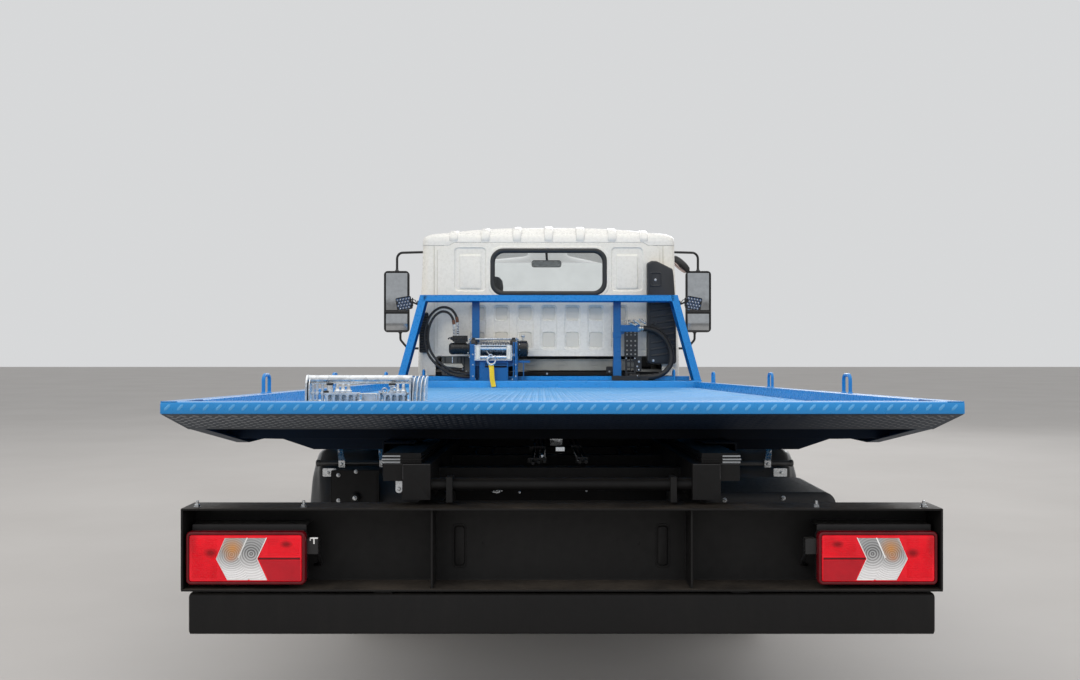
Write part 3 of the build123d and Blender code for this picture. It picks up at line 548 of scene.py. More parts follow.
# ------------------------------------------------------------------ mesh helpers
class Piece:
    """A mesh in the making. Points are (x, s, z), or (x, u, w) when raked."""

    def __init__(self, raked=False):
        self.bm = bmesh.new()
        self.to = to_b if raked else to_w
        self.mat = 0
        self.flip = 1

    def v(self, p):
        return self.bm.verts.new(self.to((p[0] * self.flip, p[1], p[2])))

    def f(self, vs):
        try:
            face = self.bm.faces.new(vs)
        except ValueError:
            return None
        face.material_index = self.mat
        return face

    def loft(self, rings, close=True, caps=True, loop=False):
        """rings: lists of points, all as long."""
        vr = [[self.v(p) for p in r] for r in rings]
        n = len(vr[0])
        pairs = list(zip(vr, vr[1:])) + ([(vr[-1], vr[0])] if loop else [])
        for a, b in pairs:
            for i in range(n if close else n - 1):
                j = (i + 1) % n
                self.f([a[i], a[j], b[j], b[i]])
        if caps and not loop:
            self.f(vr[0])
            self.f(list(reversed(vr[-1])))
        return vr

    def lift(self, axis, a, b, level):
        return {"x": (level, a, b), "y": (a, level, b), "z": (a, b, level)}[axis]

    def prism(self, axis, pts, lo, hi, pts2=None):
        self.loft([[self.lift(axis, a, b, lo) for a, b in pts], [self.lift(axis, a, b, hi) for a, b in (pts2 or pts)]])

    def box(self, x0, x1, s0, s1, z0, z1):
        self.prism("z", [(x0, s0), (x1, s0), (x1, s1), (x0, s1)], z0, z1)

    def lathe(self, a, d, prof, seg=28, caps=True, loop=False, phase=0.0):
        a, d = Vector(a), Vector(d).normalized()
        e1 = d.orthogonal().normalized()
        e2 = d.cross(e1)
        rings = []
        for t, r in prof:
            c = a + d * t
            if r < 1e-6:
                rings.append([self.v(c)])
            else:
                rings.append([self.v(c + (e1 * math.cos(q) + e2 * math.sin(q)) * r)
                              for q in (2 * math.pi * i / seg + phase for i in range(seg))])
        pairs = list(zip(rings, rings[1:])) + ([(rings[-1], rings[0])] if loop else [])
        for p, q in pairs:
            for i in range(seg):
                j = (i + 1) % seg
                if len(p) == 1 and len(q) == 1:
                    continue
                if len(p) == 1:
                    self.f([p[0], q[i], q[j]])
                elif len(q) == 1:
                    self.f([p[i], q[0], p[j]])
                else:
                    self.f([p[i], q[i], q[j], p[j]])
        if caps and not loop:
            for r in (rings[0], rings[-1]):
                if len(r) > 1:
                    self.f(r)

    def rod(self, a, b, r, seg=20, r2=None, cham=0.0):
        a, b = Vector(a), Vector(b)
        n = (b - a).length
        r2 = r if r2 is None else r2
        prof = [(0, r), (n, r2)]
        if cham:
            prof = [(0, r - cham), (cham, r), (n - cham, r2), (n, r2 - cham)]
        self.lathe(a, b - a, prof, seg)

    def ring(self, a, d, ro, ri, n, seg=28):
        self.lathe(a, d, [(0, ri), (0, ro), (n, ro), (n, ri)], seg, loop=True)

    def tube(self, pts, r, seg=12, caps=True):
        pts = [Vector(p) for p in pts]
        n = len(pts)
        tan = [(pts[min(i + 1, n - 1)] - pts[max(i - 1, 0)]).normalized() for i in range(n)]
        e = tan[0].orthogonal().normalized()
        rings = []
        for i, p in enumerate(pts):
            e = (e - tan[i] * e.dot(tan[i])).normalized()
            g = tan[i].cross(e)
            rr_ = r[i] if isinstance(r, (list, tuple)) else r
            rings.append([tuple(p + (e * math.cos(q) + g * math.sin(q)) * rr_)
                          for q in (2 * math.pi * k / seg for k in range(seg))])
        self.loft(rings, caps=caps)

    def bolt(self, p, d, size=8.0, washer=True, stud=0.0):
        d = Vector(d).normalized()
        p = Vector(p)
        h = 0.0
        if washer:
            self.lathe(p, d, [(0, size * 1.15), (size * 0.2, size * 1.15)], 16)
            h = size * 0.2
        self.lathe(p + d * h, d, [(0, size * 0.95), (size * 0.62, size * 0.95), (size * 0.78, size * 0.76)], 6,
                   phase=rnd.random())
        if stud:
            self.rod(p + d * h, p + d * (h + size * 0.78 + stud), size * 0.5, 10)

    def ball(self, c, r, seg=16, rows=8):
        prof = [(-r * math.cos(math.pi * i / rows), max(0.0, r * math.sin(math.pi * i / rows))) for i in range(rows + 1)]
        prof[0], prof[-1] = (-r, 0), (r, 0)
        self.lathe(c, (0, 0, 1), prof, seg)


def rr(x0, x1, y0, y1, r, n=5):
    """Rounded rectangle as a list of points."""
    r = min(r, (x1 - x0) / 2 - 1e-3, (y1 - y0) / 2 - 1e-3)
    out = []
    for cx_, cy_, a0 in ((x1 - r, y0 + r, -90), (x1 - r, y1 - r, 0), (x0 + r, y1 - r, 90), (x0 + r, y0 + r, 180)):
        for i in range(n + 1):
            a = math.radians(a0 + 90 * i / n)
            out.append((cx_ + r * math.cos(a), cy_ + r * math.sin(a)))
    return out


def round_poly(pts, radii, n=5):
    """A flat polygon with its corners rounded."""
    out = []
    m = len(pts)
    for i, p in enumerate(pts):
        r = radii[i] if isinstance(radii, (list, tuple)) else radii
        p = Vector(p)
        a, b = Vector(pts[i - 1]), Vector(pts[(i + 1) % m])
        da, db = (a - p).normalized(), (b - p).normalized()
        ang = da.angle(db)
        if r <= 0 or ang > math.pi - 1e-3:
            out.append(tuple(p))
            continue
        t = min(r / math.tan(ang / 2), (a - p).length * 0.49, (b - p).length * 0.49)
        rad = t * math.tan(ang / 2)
        c = p + (da + db).normalized() * (rad / math.sin(ang / 2))
        p0, p1 = p + da * t, p + db * t
        a0 = math.atan2(p0.y - c.y, p0.x - c.x)
        a1 = math.atan2(p1.y - c.y, p1.x - c.x)
        while a1 - a0 > math.pi:
            a1 -= 2 * math.pi
        while a1 - a0 < -math.pi:
            a1 += 2 * math.pi
        for k in range(n + 1):
            q = a0 + (a1 - a0) * k / n
            out.append((c.x + rad * math.cos(q), c.y + rad * math.sin(q)))
    return out


def bent_bar(pts, r, n=6):
    """Centre line of a bent steel bar: straight runs and tight bends."""
    pts = [Vector(p) for p in pts]
    out = [pts[0]]
    for i in range(1, len(pts) - 1):
        a, p, b = pts[i - 1], pts[i], pts[i + 1]
        da, db = (a - p).normalized(), (b - p).normalized()
        ang = da.angle(db)
        if ang > math.pi - 1e-3:
            continue
        rad = r[i - 1] if isinstance(r, (list, tuple)) else r
        t = min(rad / math.tan(ang / 2), (a - p).length * 0.49, (b - p).length * 0.49)
        rad = t * math.tan(ang / 2)
        c = p + (da + db).normalized() * (rad / math.sin(ang / 2))
        v0, v1 = (p + da * t) - c, (p + db * t) - c
        turn = v0.angle(v1)
        ax = v0.cross(v1).normalized()
        for k in range(n + 1):
            out.append(c + Matrix.Rotation(turn * k / n, 3, ax) @ v0)
    out.append(pts[-1])
    return out


def window_plate(q, axis, outer, inner, lo, hi):
    """A plate with an opening; both outlines have as many points."""
    q.loft([[q.lift(axis, a, b, lv) for a, b in pts] for pts, lv in ((outer, lo), (outer, hi), (inner, hi), (inner, lo))],
           loop=True)


def link(name, me, mats, sharp=38):
    for m in mats:
        me.materials.append(m)
    me.shade_smooth()
    me.set_sharp_from_angle(angle=math.radians(sharp))
    ob = bpy.data.objects.new(name, me)
    bpy.context.scene.collection.objects.link(ob)
    return ob


def bevel(ob, width, seg=2, angle=35):
    m = ob.modifiers.new("Bevel", "BEVEL")
    m.width, m.segments, m.limit_method, m.angle_limit = width / 1000, seg, "ANGLE", math.radians(angle)
    m.harden_normals = True
    m.miter_outer = "MITER_ARC"
    return ob


def weighted(ob):
    m = ob.modifiers.new("Normals", "WEIGHTED_NORMAL")
    m.keep_sharp = True
    m.weight = 80
    return ob


def put(ob, body, nodes=()):
    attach(ob, body)
    if nodes:
        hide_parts(*((nodes,) if isinstance(nodes, str) else nodes))
    return ob


def done(piece, name, mats, body, nodes=(), bev=0.0, seg=2, sharp=38, recalc=True):
    bm = piece.bm
    if recalc:
        bmesh.ops.recalc_face_normals(bm, faces=bm.faces)
    me = bpy.data.meshes.new(name)
    bm.to_mesh(me)
    bm.free()
    ob = link(name, me, mats if isinstance(mats, (list, tuple)) else [mats], sharp)
    if bev:
        bevel(ob, bev, seg)
    return put(ob, body, nodes)


def cad(node, mat, bev=0.0, seg=2):
    """A CAD node that is right as it is: its own mesh, welded and bevelled, in a good finish."""
    ob = frame["nodes"][node]
    ob.data.materials.clear()
    ob.data.materials.append(mat)
    if bev:
        w = ob.modifiers.new("Weld", "WELD")
        w.merge_threshold = 0.00005
        bevel(ob, bev, seg)
    return ob


def solid(piece, name="cutter"):
    bmesh.ops.recalc_face_normals(piece.bm, faces=piece.bm.faces)
    me = bpy.data.meshes.new(name)
    piece.bm.to_mesh(me)
    piece.bm.free()
    ob = bpy.data.objects.new(name, me)
    bpy.context.scene.collection.objects.link(ob)
    return ob


def boolean(ob, cutter, op="DIFFERENCE", keep=False):
    """ob's mesh, cut; the cutter goes unless it is kept."""
    m = ob.modifiers.new("Cut", "BOOLEAN")
    m.operation, m.solver, m.object = op, "EXACT", cutter
    bpy.context.view_layer.update()
    dg = bpy.context.evaluated_depsgraph_get()
    new = bpy.data.meshes.new_from_object(ob.evaluated_get(dg))
    ob.modifiers.remove(m)
    old = ob.data
    ob.data = new
    bpy.data.meshes.remove(old)
    if not keep:
        me = cutter.data
        bpy.data.objects.remove(cutter)
        bpy.data.meshes.remove(me)
    return ob


def finish_solid(ob, name, mats, body, nodes=(), sharp=38, bev=0.0):
    ob.name = name
    me = ob.data
    me.materials.clear()
    for m in mats if isinstance(mats, (list, tuple)) else [mats]:
        me.materials.append(m)
    me.shade_smooth()
    me.set_sharp_from_angle(angle=math.radians(sharp))
    if bev:
        bevel(ob, bev)
    weighted(ob)
    return put(ob, body, nodes)


# ------------------------------------------------------------------ floor
p = Piece()
p.box(-60000, 60000, -60000, 60000, -60, 0)
fl = link("floor", bpy.data.meshes.new("floor"), [floor_material()])
bmesh.ops.recalc_face_normals(p.bm, faces=p.bm.faces)
p.bm.to_mesh(fl.data)
p.bm.free()


# ------------------------------------------------------------------ the three free hoses
def hose(name, pts, r, node, body, mat):
    """A hose on its route's own spline."""
    cu = bpy.data.curves.new(name, "CURVE")
    cu.dimensions = "3D"
    sp = cu.splines.new("NURBS")
    sp.points.add(len(pts) - 1)
    for q, pt in zip(sp.points, pts):
        q.co = (*to_b(pt), 1)
    sp.order_u = 3
    sp.use_endpoint_u = True
    sp.resolution_u = 8
    cu.bevel_depth = r / 1000
    cu.bevel_resolution = 5
    cu.use_fill_caps = True
    cu.materials.append(mat)
    ob = bpy.data.objects.new(name, cu)
    bpy.context.scene.collection.objects.link(ob)
    put(ob, body, node)
    return ob


HOSE_IN = [(-752, 5825, 414), (-752, 5825, 484), (-760, 5828, 546), (-794, 5831, 596), (-856, 5836, 610),
           (-920, 5840, 562), (-958, 5843, 475), (-965, 5845, 378), (-946, 5846, 290), (-894, 5848, 216),
           (-816, 5849, 154), (-723, 5850, 110), (-625, 5850, 110)]
HOSE_OUT = [(-724, 5825, 414), (-724, 5825, 494), (-734, 5828, 574), (-784, 5831, 634), (-868, 5836, 642),
            (-944, 5840, 582), (-985, 5843, 481), (-993, 5845, 376), (-972, 5846, 278), (-914, 5848, 196),
            (-828, 5849, 130), (-731, 5850, 84), (-625, 5850, 84)]
CONDUIT = [(730, 5905, 472), (806, 5905, 472), (884, 5892, 440), (946, 5878, 372), (980, 5864, 282), (980, 5856, 192),
           (932, 5852, 122), (846, 5850, 80), (712, 5850, 80)]
hose("hose_inner_line", HOSE_IN, 10, "hose_inner", "bed", HOSE)
hose("hose_outer_line", HOSE_OUT, 10, "hose_outer", "bed", HOSE)
hose("conduit_line", CONDUIT, 21, "conduit", "bed", HOSE)

# ------------------------------------------------------------------ deck plate, its tread and nose
PITCH = 38.5


def tread(name, patches, mat, body, nodes, size=(12.5, 4.2, 1.7), halves=(0, 1)):
    """The raised bars of tread plate, turned a quarter in every other row. patches: corner, two unit axes, two lengths."""
    lens_l, lens_w, lens_h = size
    flat_pts = [(-lens_l, 0), (-lens_l * .55, -lens_w * .85), (lens_l * .55, -lens_w * .85), (lens_l, 0),
                (lens_l * .55, lens_w * .85), (-lens_l * .55, lens_w * .85)]
    shape = [(a, b, -0.15) for a, b in flat_pts] + [(-lens_l * .5, 0, lens_h), (lens_l * .5, 0, lens_h)]
    tris = [(0, 1, 6), (1, 2, 7, 6), (2, 3, 7), (3, 4, 7), (4, 5, 6, 7), (5, 0, 6)]
    verts, faces = [], []
    k = math.sqrt(0.5)
    for o, e1, e2, l1, l2, start in patches:
        o, e1, e2 = Vector(o), Vector(e1).normalized(), Vector(e2).normalized()
        nrm = e1.cross(e2)
        for half in halves:
            c, s = (k, k) if half == start else (k, -k)
            local = [(a * c - b * s, a * s + b * c, h) for a, b, h in shape]
            q1 = PITCH * (0.5 if half == 0 else 1.0)
            while q1 < l1 - PITCH * .3:
                q2 = PITCH * (0.4 if half == 0 else 0.9)
                while q2 < l2 - PITCH * .2:
                    n0 = len(verts)
                    base = o + e1 * q1 + e2 * q2
                    for a, b, h in local:
                        verts.append(to_b(base + e1 * a + e2 * b + nrm * h))
                    faces += [tuple(n0 + i for i in t) for t in tris]
                    q2 += PITCH
                q1 += PITCH
    me = bpy.data.meshes.new(name)
    me.from_pydata(verts, [], faces)
    return put(link(name, me, [mat], 70), body, nodes)


p = Piece(True)
p.mat = 1
p.box(-1194, 1194, 262, 5740, -4, 0)
p.mat = 0
p.prism("x", [(1.5, 9.5), (0, 12), (0, 38), (2, 43.5), (8, 46.8), (60, 46.8), (66, 46), (244, 1.6), (252, 0), (275, 0),
              (275, -49)], -1200, 1200)
p.prism("x", round_poly([(5735, -60), (5950, -60), (5950, 54), (5735, 54)], [4, 8, 8, 7], 4), -1200, 1200)
done(p, "deck_plate", [BLUE_TREAD, BLUE_DECK], "bed", "deck_floor", bev=1.2)

slope = Vector((0, 190, -47)).normalized()
under = Vector((0, 275, -57)).normalized()
tread("deck_tread", [((-1148, 268, 0), (1, 0, 0), (0, 1, 0), 2296, 5462, 0)], BLUE_DECK, "bed", "deck_floor")
tread("nose_tread", [((-1196, 66, 46.2), (1, 0, 0), slope, 2392, 180, 0)], BLUE_TREAD, "bed", "deck_floor")
# tread bars on the nose face in the lighter blue: worn crests and painted highlight
tread("nose_face_tread", [((-1198, .2, 13.6), (1, 0, 0), (0, 0, 1), 2396, 30, 0)], BLUE_WORN_HIGHLIGHT, "bed", "deck_floor",
      (14.0, 5.8, 3.0), (0,))
p = Piece(True)                                         # lower side of the nose, painted light at its ends and painted shade in the middle
p.prism("x", [(4, 7.4), (274.5, -49.9), (274.5, -48), (4, 9.4)], -1197, 1197)
done(p, "nose_underside", BLUE_UNDER_SHADE, "bed", "deck_floor")
tread("nose_under_tread", [((1190, 12, 5.6), (-1, 0, 0), under, 2380, 250, 1)], UNDER_BARS_SHADE, "bed", "deck_floor",
      (13, 4.4, 2.0))

# weld beads under the lip and along the plate's joints
p = Piece(True)
for u in (1520, 3020, 4520):
    p.prism("y", [(-1150, -0.2), (1150, -0.2), (1150, 0.5), (-1150, 0.5)], u - 3, u + 3)
p.tube([(-1190, 5737, 1.5), (1190, 5737, 1.5)], 3.2, 8)
done(p, "plate_welds", BLUE, "bed", "deck_floor")

for side, sg in (("left", -1), ("right", 1)):
    p = Piece(True)
    p.flip = sg

    def rail_section(low):
        return [(1200, 44), (1200, low + 3), (1197, low), (1150, low), (1150, low + 6), (1194, low + 6), (1194, 41),
                (1156, 41), (1156, 0), (1150, 0), (1150, 44), (1153, 47), (1197, 47)]
    rings = [[(x, u, w) for x, w in rail_section(low)] for u, low in ((275, -48.5), (880, -129), (5735, -129))]
    p.loft(rings)
    # faces below the plate sorted first; then the nose end cap
    for face in p.bm.faces:                             # faces inside, below the plate: painted shade
        c = face.calc_center_median() * 1000
        s_, z_ = c.y + S0, c.z
        if abs(c.x) < 1195.5 and (z_ - DECK_Z0) * CR + s_ * SR < -3:
            face.material_index = 1
    p.prism("z", [(1150, 2), (1200, 2), (1200, 275), (1150, 275)], 45.2, 47.4)
    done(p, f"side_rail_{side}", [BLUE, RAIL_INSIDE_SHADE], "bed", "deck_side_rails", bev=1.6)

OUTRIG = [(760, -104, -108), (1420, -129, -190), (2110, -129, -190), (2800, -129, -190), (3490, -129, -190),
          (4180, -129, -190), (4870, -129, -190), (5560, -129, -190)]
p = Piece(True)
for u, do, di in OUTRIG:
    if di > -109:
        outline = [(-1192, -4.5), (1192, -4.5), (1192, do), (1010, di), (-1010, di), (-1192, do)]
    else:
        outline = [(-1192, -4.5), (1192, -4.5), (1192, do), (1010, di), (613, di), (613, -109), (-613, -109), (-613, di),
                   (-1010, di), (-1192, do)]
    # a folded channel: web to the rear, flanges forwards
    p.prism("y", outline, u - 25, u - 20)
    low = [q for q in outline if q[1] < -5]
    for a, b in zip(low, low[1:]):
        dx, dz = b[0] - a[0], b[1] - a[1]
        n = math.hypot(dx, dz)
        nx, nz = -dz / n * 5, dx / n * 5
        if nz < 0:
            nx, nz = -nx, -nz
        if abs(a[0] - b[0]) < 1:
            nx, nz = (5 if a[0] > 0 else -5), 0
        p.prism("y", [a, b, (b[0] + nx, b[1] + nz), (a[0] + nx, a[1] + nz)], u - 20, u + 25)
# outriggers in the near-black blue: painted shade under the deck
done(p, "outriggers", OUTRIGGER_SHADE, "bed", "deck_crossmembers", bev=1.4)

p = Piece(True)
for sg in (1, -1):
    p.flip = sg
    p.prism("y", [(612, -109), (500, -109), (500, -115), (602, -115), (606, -119), (606, -214), (602, -218), (530, -218),
                  (530, -224), (608, -224), (612, -220)], 560, 5735)
    for u in range(700, 5700, 460):
        p.box(520, 606, u - 4, u + 4, -217, -116)
# beams in the near-black blue: painted shade under the deck
done(p, "bed_beams", OUTRIGGER_SHADE, "bed", "deck_beams", bev=1.2)

p = Piece(True)
for x, u, base, top in ((1175, 1250, 47, 120), (1175, 2830, 47, 120), (1175, 4930, 47, 120), (1000, 5895, 54, 138)):
    for sg in (1, -1):
        p.flip = sg
        p.tube(bent_bar([(x, u - 50, base - 1), (x, u - 50, top), (x, u + 50, top), (x, u + 50, base - 1)], 24, 7), 7.5, 14)
        for du in (-50, 50):
            p.lathe((x, u + du, base - .5), (0, 0, 1), [(0, 12), (2.5, 11.2), (5, 8.6), (6.5, 7.6)], 14)
done(p, "lashing_loops", BLUE, "bed", "tie_down_loops")

# ------------------------------------------------------------------ headboard
p = Piece(True)
for sg in (1, -1):
    p.flip = sg
    full = [(1016, 731), (1200, 54), (1143, 54), (958, 731)]
    p.mat = 0
    p.prism("y", full, 5740, 5746)
    # leg webs in the darker blue: painted shade
    p.mat = 1
    p.prism("y", [(1016, 731), (1200, 54), (1193.8, 54), (1009.8, 731)], 5744, 5924)
    p.prism("y", full, 5918, 5925)
    p.mat = 0
    p.prism("z", [(1128, 5742), (1206, 5742), (1206, 5946), (1128, 5946)], 54, 60)
p.flip = 1
p.box(-990, 990, 5740, 5746, 682, 731)
p.box(-990, 990, 5740, 5925, 725.5, 731)
p.box(-990, 990, 5919, 5925, 682, 731)
p.box(-1125, 1125, 5885, 5935, 54, 90)
# posts in the darker blue: painted shade
p.mat = 1
for x0, x1 in ((-614, -554), (517, 577)):
    p.box(x0, x1, 5880, 5940, 54, 700)
p.box(576, 730, 5885, 5935, 445, 500)
# sleeve joints of the right post, its foot plates and gussets
p.box(514, 580, 5877, 5943, 396, 444)
p.box(514, 580, 5877, 5943, 54, 212)
p.box(-617, -551, 5877, 5943, 54, 66)
p.prism("y", [(577, 420), (640, 445), (577, 445)], 5900, 5908)
done(p, "headboard_frame", [BLUE, BLUE_POST_SHADE], "bed", "headboard", bev=2.2)

p = Piece(True)     # weld beads of the headboard
for sg in (1, -1):
    p.flip = sg
    p.tube([(1143, 5741, 55), (1200, 5741, 55)], 3.4, 8)
    p.tube([(958, 5743, 683), (975, 5742, 731)], 2.6, 8)
p.flip = 1
for x in (-614, -554, 517, 577):
    p.tube([(x, 5880, 681), (x, 5940, 681)], 2.6, 8)
p.tube([(577.5, 5886, 446), (577.5, 5886, 499)], 2.6, 8)
done(p, "headboard_welds", BLUE, "bed", "headboard")

p = Piece(True)     # unions of the hydraulic lines on top of the right bracket, and at its end
for i, (x, h) in enumerate(((618, 20), (650, 26), (684, 20))):
    p.lathe((x, 5906, 499), (0, 0, 1), [(0, 11), (6, 11), (6, 8), (h, 8)], 18)
    p.lathe((x, 5906, 499 + h), (0, 0, 1), [(0, 13), (12, 13), (14, 11)], 6, phase=i * .4)
for i, (x, w, a) in enumerate(((640, 520, -24), (676, 541, -35), (722, 546, -33))):
    d = Vector((math.cos(math.radians(a)), -0.05, math.sin(math.radians(a))))
    o = Vector((x, 5890 - 6 * i, w))
    p.lathe(o, d, [(0, 9), (16, 9), (16, 12), (30, 12), (30, 9.5), (62, 9.5), (64, 8)], 18)
    p.lathe(o + d * 18, d, [(0, 14), (11, 14)], 6, phase=.3 * i)
p.lathe((728, 5905, 472), (1, 0, 0), [(-12, 25), (12, 25), (16, 22), (30, 22)], 24)
p.lathe((728, 5905, 472), (1, 0, 0), [(-16, 29), (-4, 29)], 6)
done(p, "bracket_unions", BRASS, "bed", "headboard", bev=.8)

# ------------------------------------------------------------------ galvanised wheel skate on the plate
p = Piece(True)
p.prism("z", rr(-862, -446, 400, 560, 10), 0.6, 6)
p.prism("x", round_poly([(428, 4), (532, 4), (526, 96), (505, 124), (455, 124), (434, 96)], 16), -855, -849)
p.prism("x", round_poly([(440, 4), (520, 4), (514, 90), (500, 112), (460, 112), (446, 90)], 14), -846, -842)
p.lathe((-846, 480, 108), (1, 0, 0), [(-14, 7), (-14, 12), (-9, 16), (-2, 16), (0, 15), (346, 15)], 36)
p.tube([(-846, 515, 30), (-502, 515, 30)], 9, 12)
for x in (-604, -502):                                  # upright bars
    p.box(x - 3, x + 3, 424, 536, 5, 70 if x < -600 else 116)
for i, x in enumerate((-496, -483, -470, -458)):        # fins at the right end, pinched at the top
    rings = []
    for w, h, dx in ((5, 54, 0), (60, 52, 1), (96, 44, 3), (112, 34, 5), (121, 22, 8)):
        rings.append([(x + dx, 480 - h, w), (x + dx + 4, 480 - h, w), (x + dx + 4, 480 + h, w), (x + dx, 480 + h, w)])
    p.loft(rings)
for x0, x1 in ((-794, -678), (-600, -512)):             # shelves on short legs
    p.prism("z", rr(x0, x1, 426, 505, 9), 57, 64)
    n_ = 5 if x0 < -700 else 4
    for i in range(n_):
        x = x0 + 12 + (x1 - x0 - 24) * i / (n_ - 1)
        p.lathe((x, 436, 6), (0, 0, 1), [(0, 9), (5, 9), (6, 6), (44, 6), (46, 8), (51, 8)], 14)
        p.lathe((x, 494, 6), (0, 0, 1), [(0, 6), (51, 6)], 12)
    p.box(x0 + 6, x1 - 6, 464, 467, 6, 57)
for x in (-748, -729, -710, -545, -526):                # flared pins
    p.lathe((x, 442, 64), (0, 0, 1), [(0, 11), (6, 11), (10, 8), (17, 5.6), (27, 5.2), (29, 4)], 18)
p.lathe((-773, 444, 64), (0, 0, 1), [(0, 10), (24, 10), (26, 9)], 22)
p.lathe((-564, 440, 64), (0, 0, 1), [(0, 12), (5, 12), (9, 6), (18, 6), (22, 12), (25, 12)], 22)
for x in (-830, -817, -798):
    p.lathe((x, 446, 6), (0, 0, 1), [(0, 8), (10, 8), (11, 5), (52, 5), (53, 8), (60, 8), (61, 5), (86, 5), (87, 4)], 16)
for x, w in ((-588, 72), (-556, 74)):                   # rings lying on the right shelf
    p.lathe((x, 430, w), (0, 1, .15), [(0, 8), (1.5, 10), (4, 10), (5.5, 8), (4, 6), (1.5, 6)], 22, loop=True)
p.box(-676, -607, 502, 506, 6, 62)
p.box(-676, -607, 424, 500, 26, 30)
p.tube(bent_bar([(-672, 430, 40), (-672, 430, 60), (-614, 430, 60), (-614, 430, 40)], 6, 4), 3.4, 10)
done(p, "skate_body", GALV, "bed", "wheel_skate", bev=.8)
p = Piece(True)
for x, w in ((-773, 90), (-564, 89), (-782, 64)):
    p.lathe((x, 444, w), (0, 0, 1), [(0, 11), (3, 12.5), (6, 12), (8, 8)], 18)
done(p, "skate_caps", PLASTIC_FINE, "bed", "wheel_skate", bev=.6)

# ------------------------------------------------------------------ rear bumper channel
p = Piece()
p.prism("x", round_poly([(92, 633), (242, 633), (242, 887), (92, 887), (92, 881), (236, 881), (236, 639), (92, 639)],
                        [1.5, 8, 8, 1.5, 1.5, 4, 4, 1.5], 4), -1166, 1166)
for sg in (1, -1):
    p.flip = sg
    p.prism("x", round_poly([(93, 636), (239, 636), (239, 885), (93, 885)], 2), 1160.6, 1167)
    p.prism("x", [(110, 638), (238, 638), (238, 882), (110, 882)], 397, 403)
    p.prism("x", [(240, 672), (520, 690), (520, 874), (240, 874)], 456, 466)
    rings = []
    for ds, inset in ((2, 0), (-1, .5), (-5, 2.5), (-6.5, 6)):
        rings.append([(x, 236 + ds, z) for x, z in rr(306 + inset, 340 - inset, 685 + inset, 813 - inset, 10)])
    p.loft(rings)
    window_plate(p, "y", rr(300, 346, 679, 819, 15), rr(303, 343, 682, 816, 12), 233.5, 236.5)
    p.lathe((247, 236.5, 756), (0, -1, 0), [(0, 5), (1.4, 4.4), (2, 2.6)], 14)
    p.tube([(396, 236, 640), (396, 236, 880)], 2.4, 6)
    p.tube([(404, 236, 640), (404, 236, 880)], 2.4, 6)
    p.tube([(396, 112, 639), (396, 236, 639)], 2.2, 6)
p.flip = 1
p.tube([(-396, 250, 884), (396, 250, 884)], 6.5, 14)
p.prism("x", [(240, 871), (262, 871), (262, 876), (240, 876)], -398, 398)
done(p, "bumper_channel", BUMPER, "chassis", "rear_bumper", bev=.9)

p = Piece()
for x in (-1126, -797, 787, 1119):
    p.bolt((x, 128, 887), (0, 0, 1), 9.5, True, 11)
for sg in (1, -1):
    p.flip = sg
    for s, z in ((300, 850), (300, 715), (470, 850), (470, 720)):
        p.bolt((455.5, s, z), (-1, 0, 0), 9, True, 4)
done(p, "bumper_bolts", ZINC, "chassis", "rear_bumper", bev=.5)

# ------------------------------------------------------------------ tail lamps
CHEV_IN = [(119, 145), (178, 145), (204, 84), (173, 18), (119, 18), (149, 82)]
CHEV_OUT = [(178, 145), (246, 145), (273, 81), (239, 18), (173, 18), (204, 84)]


def lamp_pts(pts):
    return [(786 + a, 651 + b) for a, b in pts]


def strip(piece, a, b, w, s0, s1):
    a, b = Vector(a), Vector(b)
    n = (b - a).normalized()
    n = Vector((-n.y, n.x)) * (w / 2)
    piece.prism("y", lamp_pts([a - n, b - n, b + n, a + n]), s0, s1)


